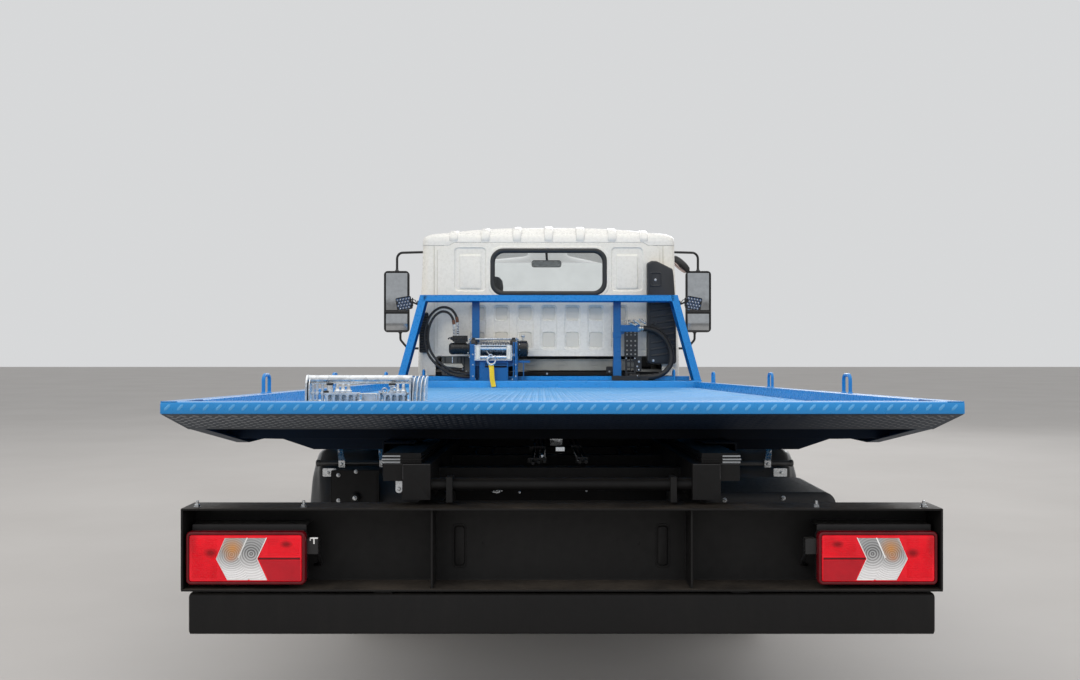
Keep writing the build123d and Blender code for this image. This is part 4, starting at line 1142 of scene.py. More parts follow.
for side, sg in (("left", -1), ("right", 1)):
    p = Piece()
    p.flip = sg
    p.prism("y", rr(789, 1151, 654, 813, 15), 116, 158)
    p.prism("y", rr(806, 1134, 668, 800, 20), 157, 172, rr(836, 1104, 684, 786, 20))
    p.box(880, 1060, 170, 236, 690, 780)
    p.box(792, 1146, 146, 236, 826, 831)
    p.box(792, 1146, 143, 147, 812, 831)
    p.box(752, 786, 122, 156, 742, 790)
    for z in (752, 762, 772, 782):
        p.box(750, 753, 126, 152, z - 2, z + 2)
    p.tube([(760, 150, 744), (757, 166, 726), (757, 190, 706), (764, 214, 694), (780, 232, 690)], 6, 10)
    done(p, f"tail_lamp_housing_{side}", PLASTIC_FINE, "chassis", "road_lamps", bev=1)
    p = Piece()
    p.flip = sg
    rings = []
    for inset, s, r in ((0, 122, 16), (0, 105, 16), (1.2, 101, 15), (3.6, 98, 13), (6.5, 97, 10), (9.5, 98, 8), (11, 101, 7),
                        (11, 104, 7)):
        rings.append([(x, s, z) for x, z in rr(786 + inset, 1154 - inset, 651 + inset, 816 - inset, r)])
    p.loft(rings)
    done(p, f"tail_lamp_rim_{side}", LENS_RIM, "chassis", "road_lamps", sharp=60)
    p = Piece()
    p.flip = sg
    p.mat = 0                   # ribbed red
    rings = []
    for inset, s in ((11.5, 106), (11.5, 100.2), (13, 98.6), (17, 98.0)):
        rings.append([(x, s, z) for x, z in rr(786 + inset, 1154 - inset, 651 + inset, 816 - inset, 7)])
    p.loft(rings)
    x = 1058.0                  # upright ribs at the outer end, and inside
    while x < 1134:
        p.prism("x", [(98.2, 672), (97.1, 674), (97.1, 794), (98.2, 796)], x, x + 1.3)
        x += 3.1
    x = 806.0
    while x < 900:
        p.prism("x", [(98.2, 742), (97.3, 744), (97.3, 794), (98.2, 796)], x, x + 1.2)
        x += 3.3
    p.mat = 1                   # reflex field
    p.prism("y", lamp_pts([(16, 15), (112, 15), (141, 77), (16, 77)]), 96.9, 98.6)
    p.mat = 2                   # dark line
    p.prism("y", lamp_pts([(16, 79), (144, 79), (145, 85), (16, 85)]), 97.2, 98.6)
    p.mat = 3
    p.prism("y", lamp_pts(CHEV_IN), 96.8, 98.6)
    p.mat = 4
    p.prism("y", lamp_pts(CHEV_OUT), 96.8, 98.6)
    p.mat = 5                   # bright borders and their teeth
    for a, b, w in (((119, 146), (149, 82), 2.6), ((149, 83), (118, 17), 1.6), ((178, 146), (205, 84), 3.6),
                    ((118, 17.5), (170, 17.5), 2.8), ((176, 17.5), (240, 17.5), 2.2), ((246, 145), (273, 81), 1.2),
                    ((273, 81), (239, 17), 1.2)):
        strip(p, a, b, w, 96.3, 98.4)
    for a, b in (((243, 143), (269, 81)), ((269, 81), (236, 20)), ((182, 142), (207, 86))):
        a, b = Vector(a), Vector(b)
        n = int((b - a).length / 4.2)
        for i in range(n):
            c = a + (b - a) * (i + .5) / n
            p.prism("y", lamp_pts([(c.x - 1.1, c.y), (c.x, c.y - 1.1), (c.x + 1.1, c.y), (c.x, c.y + 1.1)]), 96.2, 97.2)
    done(p, f"tail_lamp_lens_{side}", [LENS_RED, LENS_REFLEX, LENS_RIM, OPTIC_CLEAR, OPTIC_AMBER, LAMP_WHITE], "chassis",
         "road_lamps", bev=.25, seg=1)
p = Piece()
p.flip = -1
p.box(752, 776, 119, 124, 790, 794)
p.box(762, 766, 119, 123, 774, 791)
p.box(774, 777, 119, 123, 784, 791)
done(p, "tail_lamp_clip", LAMP_WHITE, "chassis", "road_lamps", bev=.5)

# ------------------------------------------------------------------ head lamps
for side, sg in (("left", -1), ("right", 1)):
    p = Piece()
    p.flip = sg
    p.mat = 0
    rings = []
    for inset, s, r in ((0, 7752, 14), (0, 7786, 14), (2, 7789, 13), (6, 7790, 10), (9, 7788, 8), (10, 7770, 8)):
        rings.append([(x, s, z) for x, z in rr(700 + inset, 1000 - inset, 705 + inset, 860 - inset, r)])
    p.loft(rings)
    p.mat = 1
    for cxx, rad in ((780, 62), (896, 44)):
        p.lathe((cxx, 7771, 782), (0, 1, 0), [(0, 16), (2, rad * .62), (8, rad * .9), (14, rad), (14.6, rad + 2), (0, rad + 2)], 36)
        p.ball((cxx, 7778, 782), 9)
    p.mat = 2
    p.prism("y", rr(946, 988, 716, 850, 8), 7770, 7783)
    done(p, f"head_lamp_{side}", [PLASTIC_FINE, CHROME, LENS_AMBER], "chassis", "road_lamps", bev=.6)
    p = Piece()
    p.flip = sg
    rings = []
    for inset, s in ((9.5, 7785), (9.5, 7787.5), (14, 7789.4), (30, 7789.9)):
        rings.append([(x, s, z) for x, z in rr(700 + inset, 1000 - inset, 705 + inset, 860 - inset, 9)])
    p.loft(rings)
    done(p, f"head_lamp_glass_{side}", GLASS, "chassis", "road_lamps")

# ------------------------------------------------------------------ underrun bar and side guards
p = Piece()
rings = []
for inset, x in ((6, -1145), (0, -1141), (0, 1141), (6, 1145)):
    rings.append([(x, s, z) for s, z in rr(98 + inset, 200 - inset, 500 + inset, 625 - inset, 10 if inset == 0 else 6)])
p.loft(rings)
for sg in (1, -1):
    p.flip = sg
    p.prism("x", [(112, 622), (188, 622), (188, 633.5), (112, 633.5)], 522, 578)
    for z in (440, 660):
        rings = []
        for inset, s in ((7, 3250), (0, 3256), (0, 5594), (7, 5600)):
            rings.append([(x, s, q) for x, q in rr(1105 + inset, 1130 - inset * .5, z + inset, z + 110 - inset, 9 if not inset else 5)])
        p.loft(rings)
    for s in (3300, 3860, 4340, 4940, 5520):
        p.prism("z", [(1065, s), (1106, s), (1106, s + 6), (1071, s + 6), (1071, s + 34), (1106, s + 34), (1106, s + 40),
                      (1065, s + 40)], 430, 780)
        if s != 3860:
            p.prism("x", rr(s, s + 40, 690, 725, 5, 3), 455, 1068)
done(p, "guard_rails", BLACK, "chassis", "underrun_guards", bev=1)
p = Piece()
for sg in (1, -1):
    p.flip = sg
    for s in (3320, 3880, 4360, 4960, 5540):
        for z in (470, 520, 690, 740):
            p.bolt((1130, s, z), (1, 0, 0), 6, True)
done(p, "guard_bolts", ZINC, "chassis", "underrun_guards", bev=.4)
p = Piece()
for sg in (1, -1):
    p.flip = sg
    for s in (3560, 4620, 5400):
        p.mat = 0
        p.prism("x", rr(s, s + 90, 692, 738, 6), 1129.5, 1134)
        p.mat = 1
        p.prism("x", rr(s + 4, s + 86, 696, 734, 5), 1133.8, 1137.5)
done(p, "side_markers", [PLASTIC_FINE, LENS_AMBER], "chassis", "underrun_guards", bev=1)

# ------------------------------------------------------------------ rear mudguards and what holds them
ARCH = [(1853, 640), (1862, 668), (1907, 763), (1935, 795), (2010, 848), (2060, 870), (2096, 879), (2300, 881), (2500, 880),
        (2700, 876), (2904, 863), (2940, 856), (2985, 836), (3065, 775), (3093, 753), (3138, 668), (3147, 640)]
for side, sg in (("left", -1), ("right", 1)):
    p = Piece()
    p.flip = sg
    up = []
    for i, (s, z) in enumerate(ARCH):
        a, b = ARCH[max(i - 1, 0)], ARCH[min(i + 1, len(ARCH) - 1)]
        t = Vector((b[0] - a[0], b[1] - a[1])).normalized()
        up.append((s, z, -t.y, t.x))
    section = [(630, -16), (622, -12), (622, 0), (650, 1.5), (662, 6), (700, 6), (712, 1.5), (850, 1.5), (862, 6), (900, 6),
               (912, 1.5), (1030, 1.5), (1042, 6), (1080, 5), (1104, 1), (1116, -8), (1120, -22), (1114, -36), (1110, -34),
               (1113, -22), (1110, -12), (1100, -3), (1040, 0), (910, -2), (860, -2), (710, -2), (660, -2), (626, -4), (628, -14)]
    rings = [[(x, s + nx * h, z + nz * h) for x, h in section] for s, z, nx, nz in up]
    p.loft(rings)
    p.tube([(455, 2030, 824), (1092, 2030, 824)], 13.5, 16)
    p.tube([(455, 2970, 808), (1092, 2970, 808)], 13.5, 16)
    p.tube([(455, 1925, 836), (1088, 1925, 836)], 13.5, 16)
    p.lathe((1086, 1925, 836), (1, 0, 0), [(0, 16), (12, 16), (16, 12)], 18)
    done(p, f"mudguard_{side}", MUD, "chassis", "rear_mudguards")
    p = Piece()                     # clamps and straps, zinc plated
    p.flip = sg
    for x, s, top in ((980, 1925, 925), (792, 1925, 930)):
        p.ring((x - 14, s, 836), (1, 0, 0), 19, 14, 28, 20)
        p.prism("y", round_poly([(x - 15, 818), (x + 15, 818), (x + 15, 850), (x - 15, 850)], 3), s - 24, s - 19)
        p.loft([[(x - 15, s - 22, 846), (x + 15, s - 22, 846), (x + 15, s - 19, 846), (x - 15, s - 19, 846)],
                [(x - 3, s - 8, 890), (x + 22, s - 8, 890), (x + 22, s - 5, 890), (x - 3, s - 5, 890)],
                [(x + 4, s + 30, top), (x + 28, s + 30, top), (x + 28, s + 33, top), (x + 4, s + 33, top)]])
        p.bolt((x, s - 24, 834), (0, -1, 0), 7, True, 6)
        p.bolt((x + 14, s - 6, 892), (0, -1, .4), 6, True, 2)
    p.prism("y", round_poly([(1000, 780), (1062, 780), (1062, 818), (1000, 818)], 5), 1868, 1872)
    p.bolt((1036, 1868, 798), (0, -1, 0), 8, True, 6)
    done(p, f"mudguard_clamps_{side}", ZINC, "chassis", "rear_mudguards", bev=.6)
p = Piece()
p.flip = -1                         # carrier plate behind the left rail end
p.prism("y", round_poly([(800, 646), (1018, 646), (1018, 812), (800, 812)], 6), 1838, 1844)
p.prism("x", [(1838, 650), (1880, 650), (1880, 806), (1838, 806)], 1014, 1019)
p.prism("x", [(1838, 650), (1880, 650), (1880, 806), (1838, 806)], 806, 811)
p.lathe((905, 1838, 690), (0, -1, 0), [(0, 22), (18, 22), (20, 18), (30, 18), (32, 12)], 20)
done(p, "left_carrier_plate", BLACK, "chassis", "rear_mudguards", bev=1.4)
p = Piece()
p.flip = -1
for x, z in ((985, 790), (985, 675), (905, 806)):
    p.bolt((x, 1838, z), (0, -1, 0), 8, True, 8)
p.bolt((905, 1806, 690), (0, -1, 0), 9, True, 5)
done(p, "left_carrier_bolts", ZINC, "chassis", "rear_mudguards", bev=.5)

# ------------------------------------------------------------------ cab shell
# columns: z, half width, back s, front s, back and front corner radius
LEVELS = [(790, 1065, 6040, 7760, 55, 120), (1000, 1065, 6040, 7757, 55, 120), (1250, 1065, 6040, 7752, 55, 120),
          (1300, 1064.5, 6040, 7735, 58, 120), (1350, 1062.5, 6040, 7712, 60, 120), (1400, 1060, 6040, 7690, 60, 118),
          (1700, 1045.7, 6040, 7574, 62, 114), (2000, 1031, 6040, 7459, 66, 110), (2150, 1028, 6040, 7401, 68, 110),
          (2183, 1029, 6041, 7388, 62, 112), (2212, 1029, 6043, 7373, 62, 116), (2236, 1024, 6049, 7352, 64, 120),
          (2253, 1011, 6060, 7327, 66, 126), (2264, 994, 6073, 7298, 70, 130), (2273, 972, 6088, 7270, 72, 132),
          (2280, 935, 6103, 7238, 74, 132), (2286, 850, 6121, 7200, 76, 120), (2309, 690, 6150, 7150, 76, 110),
          (2329, 408, 6190, 7060, 70, 90), (2337, 150, 6245, 6900, 40, 60)]
BOW = 34.0


def bowed(x, hx, rf):
    return BOW * (min(abs(x), hx - rf) / (hx - rf)) ** 2


def outline(hx, sb, sf, rb, rf, n=7):
    out = []
    for cx_, cy_, r, a0 in ((hx - rb, sb + rb, rb, -90), (hx - rf, sf - BOW - rf, rf, 0), (-hx + rf, sf - BOW - rf, rf, 90),
                            (-hx + rb, sb + rb, rb, 180)):
        for i in range(n + 1):
            a = math.radians(a0 + 90 * i / n)
            out.append((cx_ + r * math.cos(a), cy_ + r * math.sin(a)))
        if a0 == 0:
            for k in range(1, 12):
                x = (hx - rf) * (1 - k / 6)
                out.append((x, sf - bowed(x, hx, rf)))
    return out


def cab_rings(inset, top):
    """The shell's surface, moved inwards, from the top down."""
    out = []
    for z, hx, sb, sf, rb, rf in reversed(LEVELS):
        zz = z if z < 2100 else 2100 + (z - 2100) * (top - 2100) / 237
        out.append([(x, s, zz) for x, s in outline(hx - inset, sb + inset, sf - inset, max(rb - inset * .8, 14),
                                                   max(rf - inset * .8, 14))])
    return out


def shell_solid(inset, thick, top, top_in):
    q = Piece()
    q.loft(cab_rings(inset + thick, top_in) + list(reversed(cab_rings(inset, top))))
    return solid(q, "shell")


def cutter(fn):
    q = Piece()
    fn(q)
    return solid(q)


def copy_of(ob):
    new = ob.copy()
    new.data = ob.data.copy()
    bpy.context.scene.collection.objects.link(new)
    return new


DOORP = [(6600, 870), (7500, 870), (7560, 1330), (7555, 1380), (7270, 2120), (6600, 2120)]
GAPP = [(6595.5, 700), (7503.5, 700), (7564, 1329), (7559, 1382), (7273, 2124.5), (6595.5, 2124.5)]
PANEP = [(6690, 1440), (7465, 1440), (7232, 2050), (6690, 2050)]
ARCHP = [(5900, 700), (7090, 700), (7090, 850), (7070, 868), (6570, 868), (6548, 885), (6420, 1105), (6395, 1120), (5900, 1120)]

shell = shell_solid(0, 24, 2337, 2310)
boolean(shell, cutter(lambda q: q.prism("x", ARCHP, -1200, 1200)))


def part_of(fn):
    return boolean(copy_of(shell), cutter(fn), "INTERSECT")


def pocket(q, x0, x1, z0, z1, r, depth, slope=6, s=6040.0):
    """A pressed recess in the back wall, its rim and its foot rounded."""
    rings = []
    for ds, inset in ((-6, -1.2), (-.2, -1.2), (.5, .4), (1.6, 1.4), (depth - 2.0, slope - 1.2), (depth - .6, slope + 1.0),
                      (depth, slope + 4)):
        rings.append([(x, s + ds, z) for x, z in rr(x0 + inset, x1 - inset, z0 + inset, z1 - inset, max(r - inset * .6, 4), 7)])
    q.loft(rings)


# back wall
back = part_of(lambda q: q.prism("y", [(-1300, 600), (1300, 600), (1300, 2174), (813, 2174), (768, 2198.5), (-768, 2198.5),
                                       (-813, 2174), (-1300, 2174)], 5900, 6139))
boolean(back, cutter(lambda q: q.prism("y", rr(-462, 462, 1780, 2141, 96, 10), 5950, 6200)))
boolean(back, cutter(lambda q: q.prism("y", round_poly([(-920, 500), (920, 500), (920, 1279), (-920, 1279)], [0, 0, 30, 30]),
                                       5950, 6078)))


def columns(q):
    for cx_ in (-576, -384, -192, 0, 192, 384, 576):
        pocket(q, cx_ - 68, cx_ + 68, 1330, 1694, 32, 6, 6)
    for sg_ in (1, -1):
        a, b = sorted((sg_ * 508, sg_ * 768))
        pocket(q, a, b, 1804, 2162, 34, 9, 8)


def pockets(q):
    for cx_ in (-576, -384, -192, 0, 192, 384, 576):
        pocket(q, cx_ - 58, cx_ + 58, 1562, 1684, 24, 17, 8)
        pocket(q, cx_ - 58, cx_ + 58, 1340, 1478, 24, 17, 8)


boolean(back, cutter(columns))
boolean(back, cutter(pockets))


def grooves(q):
    for sg_ in (1, -1):
        q.tube([(sg_ * 930, 6036, 1284), (sg_ * 930, 6036, 2176)], 7, 12)
        q.tube([(sg_ * 904, 6037.4, 1344), (sg_ * 904, 6037.4, 2140)], 4.4, 10)
    q.tube([(-898, 6037.2, 1326), (898, 6037.2, 1326)], 4.6, 10)
    q.tube([(214, 6030, 1302), (214, 6050, 1302)], 5.5, 14)


boolean(back, cutter(grooves))
finish_solid(back, "cab_back_wall", WHITE_BACK_SHADED, "chassis", "cab_back_panel", sharp=40)

p = Piece()
for sg in (1, -1):                              # raised fields in the two upper recesses
    p.flip = sg
    rings = []
    for ds, inset in ((14, -7), (8.5, -6), (3.0, 0), (1.2, 3.2), (.6, 8)):
        rings.append([(x, 6040 + ds, z) for x, z in rr(554 + inset, 722 - inset, 1826 + inset, 2098 - inset, 16, 7)])
    p.loft(rings)
p.flip = 1
rings = []                                      # pressed rim round the window
for ds, inset in ((2, 0), (-1.5, 3), (-3, 8), (-3, 22), (2, 30)):
    rings.append([(x, 6040 + ds, z) for x, z in rr(-496 + inset, 496 - inset, 1748 + inset, 2174 - inset, 112, 9)])
p.loft(rings, caps=False, loop=True)
for cx_ in (-480, -288, -96, 96, 288, 480):     # small drain beads between the columns' feet
    p.prism("y", rr(cx_ - 16, cx_ + 16, 1338, 1346, 4), 6038.6, 6043)
p.box(-918, 918, 6036.5, 6052, 1277, 1283)      # flange along the lower edge
done(p, "cab_back_pressings", WHITE_BACK_SHADED, "chassis", "cab_back_panel", bev=.8, sharp=50)
p = Piece()                                     # painted shade on the floors of the pressed pockets and along the grooves' bottoms
for cx_ in (-576, -384, -192, 0, 192, 384, 576):
    p.prism("y", rr(cx_ - 48, cx_ + 48, 1572, 1674, 14, 4), 6055.4, 6058)
    p.prism("y", rr(cx_ - 48, cx_ + 48, 1350, 1468, 14, 4), 6055.4, 6058)
for sg in (1, -1):
    p.flip = sg
    p.tube([(930, 6040.5, 1286), (930, 6040.5, 2172)], 3.4, 8)
    p.tube([(904, 6040.2, 1346), (904, 6040.2, 2138)], 2.2, 8)
done(p, "cab_back_recesses", WHITE_SHADE, "chassis", "cab_back_panel")

# window rubber and glass
p = Piece()
rings = []
for inset, s in ((0, 6044), (0, 6037), (3, 6032), (9, 6028.5), (20, 6028), (29, 6031), (35, 6037), (37, 6046), (37, 6060),
                 (12, 6062)):
    rings.append([(x, s, z) for x, z in rr(-474 + inset, 474 - inset, 1769 + inset, 2153 - inset, 104 - inset * .7, 10)])
p.loft(rings, caps=False, loop=True)
done(p, "rear_window_rubber", GASKET, "chassis", "cab_glass", sharp=50)
p = Piece()
p.prism("y", rr(-442, 442, 1802, 2120, 76, 10), 6050, 6055)
lv = []
for k in range(7):
    z = 1454 + k * (2146 - 1454) / 6
    hx = 1060 - (z - 1400) * .0485
    s0_ = 7690 - (z - 1400) * .38554
    xs = [-922 + 1844 * i / 16 for i in range(17)]
    lv.append([(x, s0_ - bowed(x, hx, 114) - 9, z) for x in xs] + [(x, s0_ - bowed(x, hx, 114) - 15, z) for x in reversed(xs)])
p.loft(lv)
done(p, "window_glass", GLASS, "chassis", "cab_glass")


def on_front(x, z, out=0.0):
    hx = 1060 - (z - 1400) * .0485
    return (x, 7690 - (z - 1400) * .38554 - bowed(x, hx, 114) + out, z)


p = Piece()
ring_pts = rr(-922, 922, 1453, 2147, 72, 8)
ring_pts = [q for i, a in enumerate(ring_pts) for q in
            [a] + [(a[0] + (ring_pts[(i + 1) % len(ring_pts)][0] - a[0]) * t / 8,
                    a[1] + (ring_pts[(i + 1) % len(ring_pts)][1] - a[1]) * t / 8)
                   for t in range(1, 8) if math.hypot(ring_pts[(i + 1) % len(ring_pts)][0] - a[0],
                                                     ring_pts[(i + 1) % len(ring_pts)][1] - a[1]) > 200]]
p.tube([on_front(x, z, -3) for x, z in ring_pts] + [on_front(*ring_pts[0], -3)], 11, 10)
done(p, "windscreen_rubber", GASKET, "chassis", "cab_glass")

# front wall
front = part_of(lambda q: q.box(-1300, 1300, 7278, 7900, 600, 2181.5))
boolean(front, cutter(lambda q: q.prism("y", rr(-925, 925, 1450, 2150, 74, 8), 7200, 7900)))
for lo, hi in ((900, 1300), (-1300, -900)):
    boolean(front, cutter(lambda q: q.prism("x", GAPP, lo, hi)))


def front_cuts(q):
    for z0, z1, w in ((1020, 1225, 690), (842, 950, 560)):
        q.prism("y", rr(-w, w, z0, z1, 36, 6), 7736, 7800)


boolean(front, cutter(front_cuts))
finish_solid(front, "cab_front_wall", WHITE, "chassis", "cab_front_panel", sharp=40)

# side walls
walls = part_of(lambda q: q.box(-1300, 1300, 6142, 7275, 600, 2181.5))
for lo, hi in ((900, 1300), (-1300, -900)):
    boolean(walls, cutter(lambda q: q.prism("x", GAPP, lo, hi)))


def side_marks(q):
    for sg_ in (1, -1):
        a, b = sorted((sg_ * 1061.5, sg_ * 1100))
        q.prism("x", rr(6200, 6520, 1190, 1210, 9), a, b)


boolean(walls, cutter(side_marks))
finish_solid(walls, "cab_side_walls", WHITE, "chassis", "cab_side_panels", sharp=40)

# roof
roof = part_of(lambda q: q.box(-1300, 1300, 5900, 7900, 2177, 2500))
boolean(roof, cutter(lambda q: q.box(-1300, 1300, 6139, 7950, 2100, 2184.5)))
boolean(roof, cutter(lambda q: q.prism("y", [(-820, 2150), (820, 2150), (813, 2177), (768, 2201.5), (-768, 2201.5),
                                             (-813, 2177)], 5900, 6138.5)))
finish_solid(roof, "cab_roof_shell", WHITE_ROOF_SHADED, "chassis", "cab_roof", sharp=40)
p = Piece()
for cx_ in (-774, -516, -258, 0, 258, 516, 774):  # flutes that run over the roof and down its rear edge
    k = 1 - .252 * (abs(cx_) / 774) ** 2
    prof = [(6060, 2205), (6040, 2212), (6037, 2226), (6038.5, 2242), (6044, 2258), (6054, 2275), (6068, 2291), (6086, 2305),
            (6110, 2318), (6140, 2329), (6175, 2339), (6220, 2346), (6400, 2349), (6900, 2347), (7090, 2336), (7180, 2305),
            (7200, 2240)]
    prof = [(s, 2216 + (z - 2216) * k if z > 2216 else z) for s, z in prof]
    rings = []
    for dx, low in ((-37, 18), (-35, 9), (-31, 2.5), (-26, 0), (26, 0), (31, 2.5), (35, 9), (37, 18)):
        ring_ = []
        for i, (s, z) in enumerate(prof):
            a, b = prof[max(i - 1, 0)], prof[min(i + 1, len(prof) - 1)]
            t = Vector((b[0] - a[0], b[1] - a[1])).normalized()
            ring_.append((cx_ + dx, s + t.y * low, z - t.x * low))
        rings.append(ring_)
    p.loft(rings)
done(p, "roof_ribs", WHITE_ROOF_SHADED, "chassis", "cab_roof", sharp=50)
p = Piece()
for sg in (1, -1):                              # drip rails along the roof
    p.flip = sg
    p.tube([(1015, 6140, 2186), (1019, 6400, 2187), (1019, 7200, 2187), (1002, 7310, 2183)], 6.5, 10)
done(p, "roof_drip_rails", WHITE, "chassis", "cab_roof", bev=1.5)

# doors: skin, glass, rubber, handle
for side, sg, body in (("left", -1, "left_door"), ("right", 1, "right_door")):
    lo, hi = sorted((sg * 900, sg * 1300))
    d = boolean(copy_of(shell), cutter(lambda q: q.prism("x", round_poly(DOORP, [14, 40, 10, 10, 30, 26]), lo, hi)), "INTERSECT")
    boolean(d, cutter(lambda q: q.prism("x", round_poly(PANEP, [34, 40, 40, 34]), lo, hi)))

    def dent(q):
        a, b = sorted((sg * 1060.5, sg * 1100))
        q.prism("x", rr(6640, 6790, 1296, 1352, 20), a, b)
        q.prism("x", rr(6650, 7440, 1030, 1042, 5.5), a + (3 if sg > 0 else 0), b - (0 if sg > 0 else -3))
    boolean(d, cutter(dent))
    finish_solid(d, f"{side}_door_skin", WHITE, body, f"door_{side}", sharp=40)

    def hxz(z):
        return 1065 - max(0.0, z - 1300) * .0483
    p = Piece()
    p.flip = sg
    p.mat = 0
    out = []
    for s, z in round_poly(PANEP, [34, 40, 40, 34]):
        out.append((s, z))
    p.loft([[(hxz(z) - 17, s, z) for s, z in out], [(hxz(z) - 12, s, z) for s, z in out]])
    done(p, f"{side}_door_glass", GLASS_DARK, body, f"door_{side}")
    p = Piece()
    p.flip = sg
    ring = [(hxz(z) - 6, s, z) for s, z in out]
    p.tube(ring + [ring[0]], 8.5, 8)
    p.prism("x", rr(6648, 6782, 1310, 1338, 9), 1052, 1072)             # handle
    p.prism("x", rr(6652, 6672, 1306, 1342, 7), 1050, 1068)
    p.prism("x", [(6840, 1040), (6860, 1040), (6860, 2030), (6840, 2030)], 1000, 1004)
    done(p, f"{side}_door_rubber", PLASTIC_FINE, body, f"door_{side}", bev=1)
    p = Piece()
    p.flip = sg
    p.prism("x", round_poly([(6625, 900), (7485, 900), (7530, 1330), (7450, 1400), (6625, 1400)], 30), 1022, 1036)
    p.prism("x", round_poly([(6900, 1180), (7420, 1180), (7430, 1260), (6900, 1240)], 20), 990, 1026)
    done(p, f"{side}_door_card", TRIM, body, f"door_{side}", bev=4)
for o in (shell,):
    me_ = o.data
    bpy.data.objects.remove(o)
    bpy.data.meshes.remove(me_)

# ------------------------------------------------------------------ inside the cab
p = Piece()
p.loft([[(x, s, z) for x, s in outline(hx, sb, sf, 60, 80)] for z, hx, sb, sf in ((2226, 955, 6085, 7270), (2248, 930, 6110, 7240),
                                                                        (2260, 880, 6160, 7190))])
done(p, "headlining", LINER, "chassis", "cab_roof", bev=2)
p = Piece()
p.mat = 1
p.prism("y", round_poly([(-592, 2236), (-182, 2236), (-182, 2186), (-214, 2176), (-560, 2142), (-592, 2152)], 14), 7262, 7276)
p.prism("y", round_poly([(176, 2236), (576, 2236), (576, 2114), (550, 2102), (208, 2176), (176, 2190)], 14), 7262, 7276)
# header strips in the glowing material: painted light
p.mat = 2
p.prism("y", [(-880, 2121), (880, 2121), (880, 2236), (-880, 2236)], 7296, 7300)
p.prism("y", [(-860, 2150), (860, 2150), (860, 2228), (-860, 2228)], 6150, 6153)
p.mat = 0
p.prism("y", rr(-148, 124, 2071, 2136, 24, 6), 7190, 7206)
p.rod((-6, 7206, 2110), (-12, 7250, 2206), 11, 16)
p.lathe((-16, 7262, 2226), (0, .4, 1), [(-8, 22), (0, 26), (10, 26)], 18)
done(p, "visors_and_mirror", [TRIM, VISOR_GLOW, HEADER_GLOW], "chassis", "cab_roof", bev=3)
p = Piece()
p.prism("y", rr(-144, 120, 2075, 2132, 20, 6), 7187, 7190.4)
done(p, "inside_mirror_glass", MIRROR_GREY, "chassis", "cab_roof")


def cushion(name, x0, x1, s0, s1, z0, z1, crown, lean=0.0, nx=14, ny=12, channels=0):
    """A crowned, closed pad whose sides pull in between its corners; sewn channels run front to back."""
    q = Piece()
    rows = []
    for iz in range(ny + 1):
        t = iz / ny
        ang = -math.pi / 2 + math.pi * t
        k = abs(math.sin(ang)) ** 3.0
        inset = 26 * (1 - math.cos(ang)) ** 1.4
        z = (z0 + z1) / 2 + (z1 - z0) / 2 * math.sin(ang)
        ring_ = []
        for x, s in rr(x0 + inset, x1 - inset, s0 + inset, s1 - inset, 46, 8):
            u = (x - (x0 + x1) / 2) / ((x1 - x0) / 2)
            w = (s - (s0 + s1) / 2) / ((s1 - s0) / 2)
            pull = 7 * (1 - k) * (1 - min(abs(u), abs(w)) ** 2)
            ring_.append((x - pull * (1 if x > (x0 + x1) / 2 else -1) * (abs(u) > abs(w)),
                          s - pull * (1 if s > (s0 + s1) / 2 else -1) * (abs(w) >= abs(u)), z))
        rows.append(ring_)
    q.loft(rows, caps=False)
    # top and bottom closed by shrinking rings that follow the crown
    for base_ring, sign in ((rows[-1], 1), (rows[0], -1)):
        prev = base_ring
        cxm, csm = (x0 + x1) / 2, (s0 + s1) / 2
        layers = [base_ring]
        for j in range(1, 7):
            f = 1 - j / 6.4
            lay = []
            for x, s, z in base_ring:
                xx, ss = cxm + (x - cxm) * f, csm + (s - csm) * f
                rise = crown * (1 - f * f) * sign
                groove = 0.0
                if channels and sign > 0:
                    groove = 7.0 * max(0.0, math.cos((xx - x0) / (x1 - x0) * channels * 2 * math.pi)) ** 18
                lay.append((xx, ss, z + rise - groove))
            layers.append(lay)
        q.loft(layers if sign > 0 else list(reversed(layers)), caps=False)
        q.f([q.v(a) for a in layers[-1]])
    bmesh.ops.remove_doubles(q.bm, verts=q.bm.verts, dist=1e-5)
    if lean:
        c = Vector(to_w(((x0 + x1) / 2, (s0 + s1) / 2, z0)))
        bmesh.ops.rotate(q.bm, verts=q.bm.verts, cent=c, matrix=Matrix.Rotation(lean, 3, "X"))
    ob = done(q, name, CLOTH, "chassis", "seats", sharp=80)
    m_ = ob.modifiers.new("Soft", "SUBSURF")
    m_.levels = m_.render_levels = 1
    return ob


def piping(q, x0, x1, s0, s1, z, r=3.5):
    pts = [(x, s, z) for x, s in rr(x0, x1, s0, s1, 44, 8)]
    q.tube(pts + [pts[0]], r, 8)


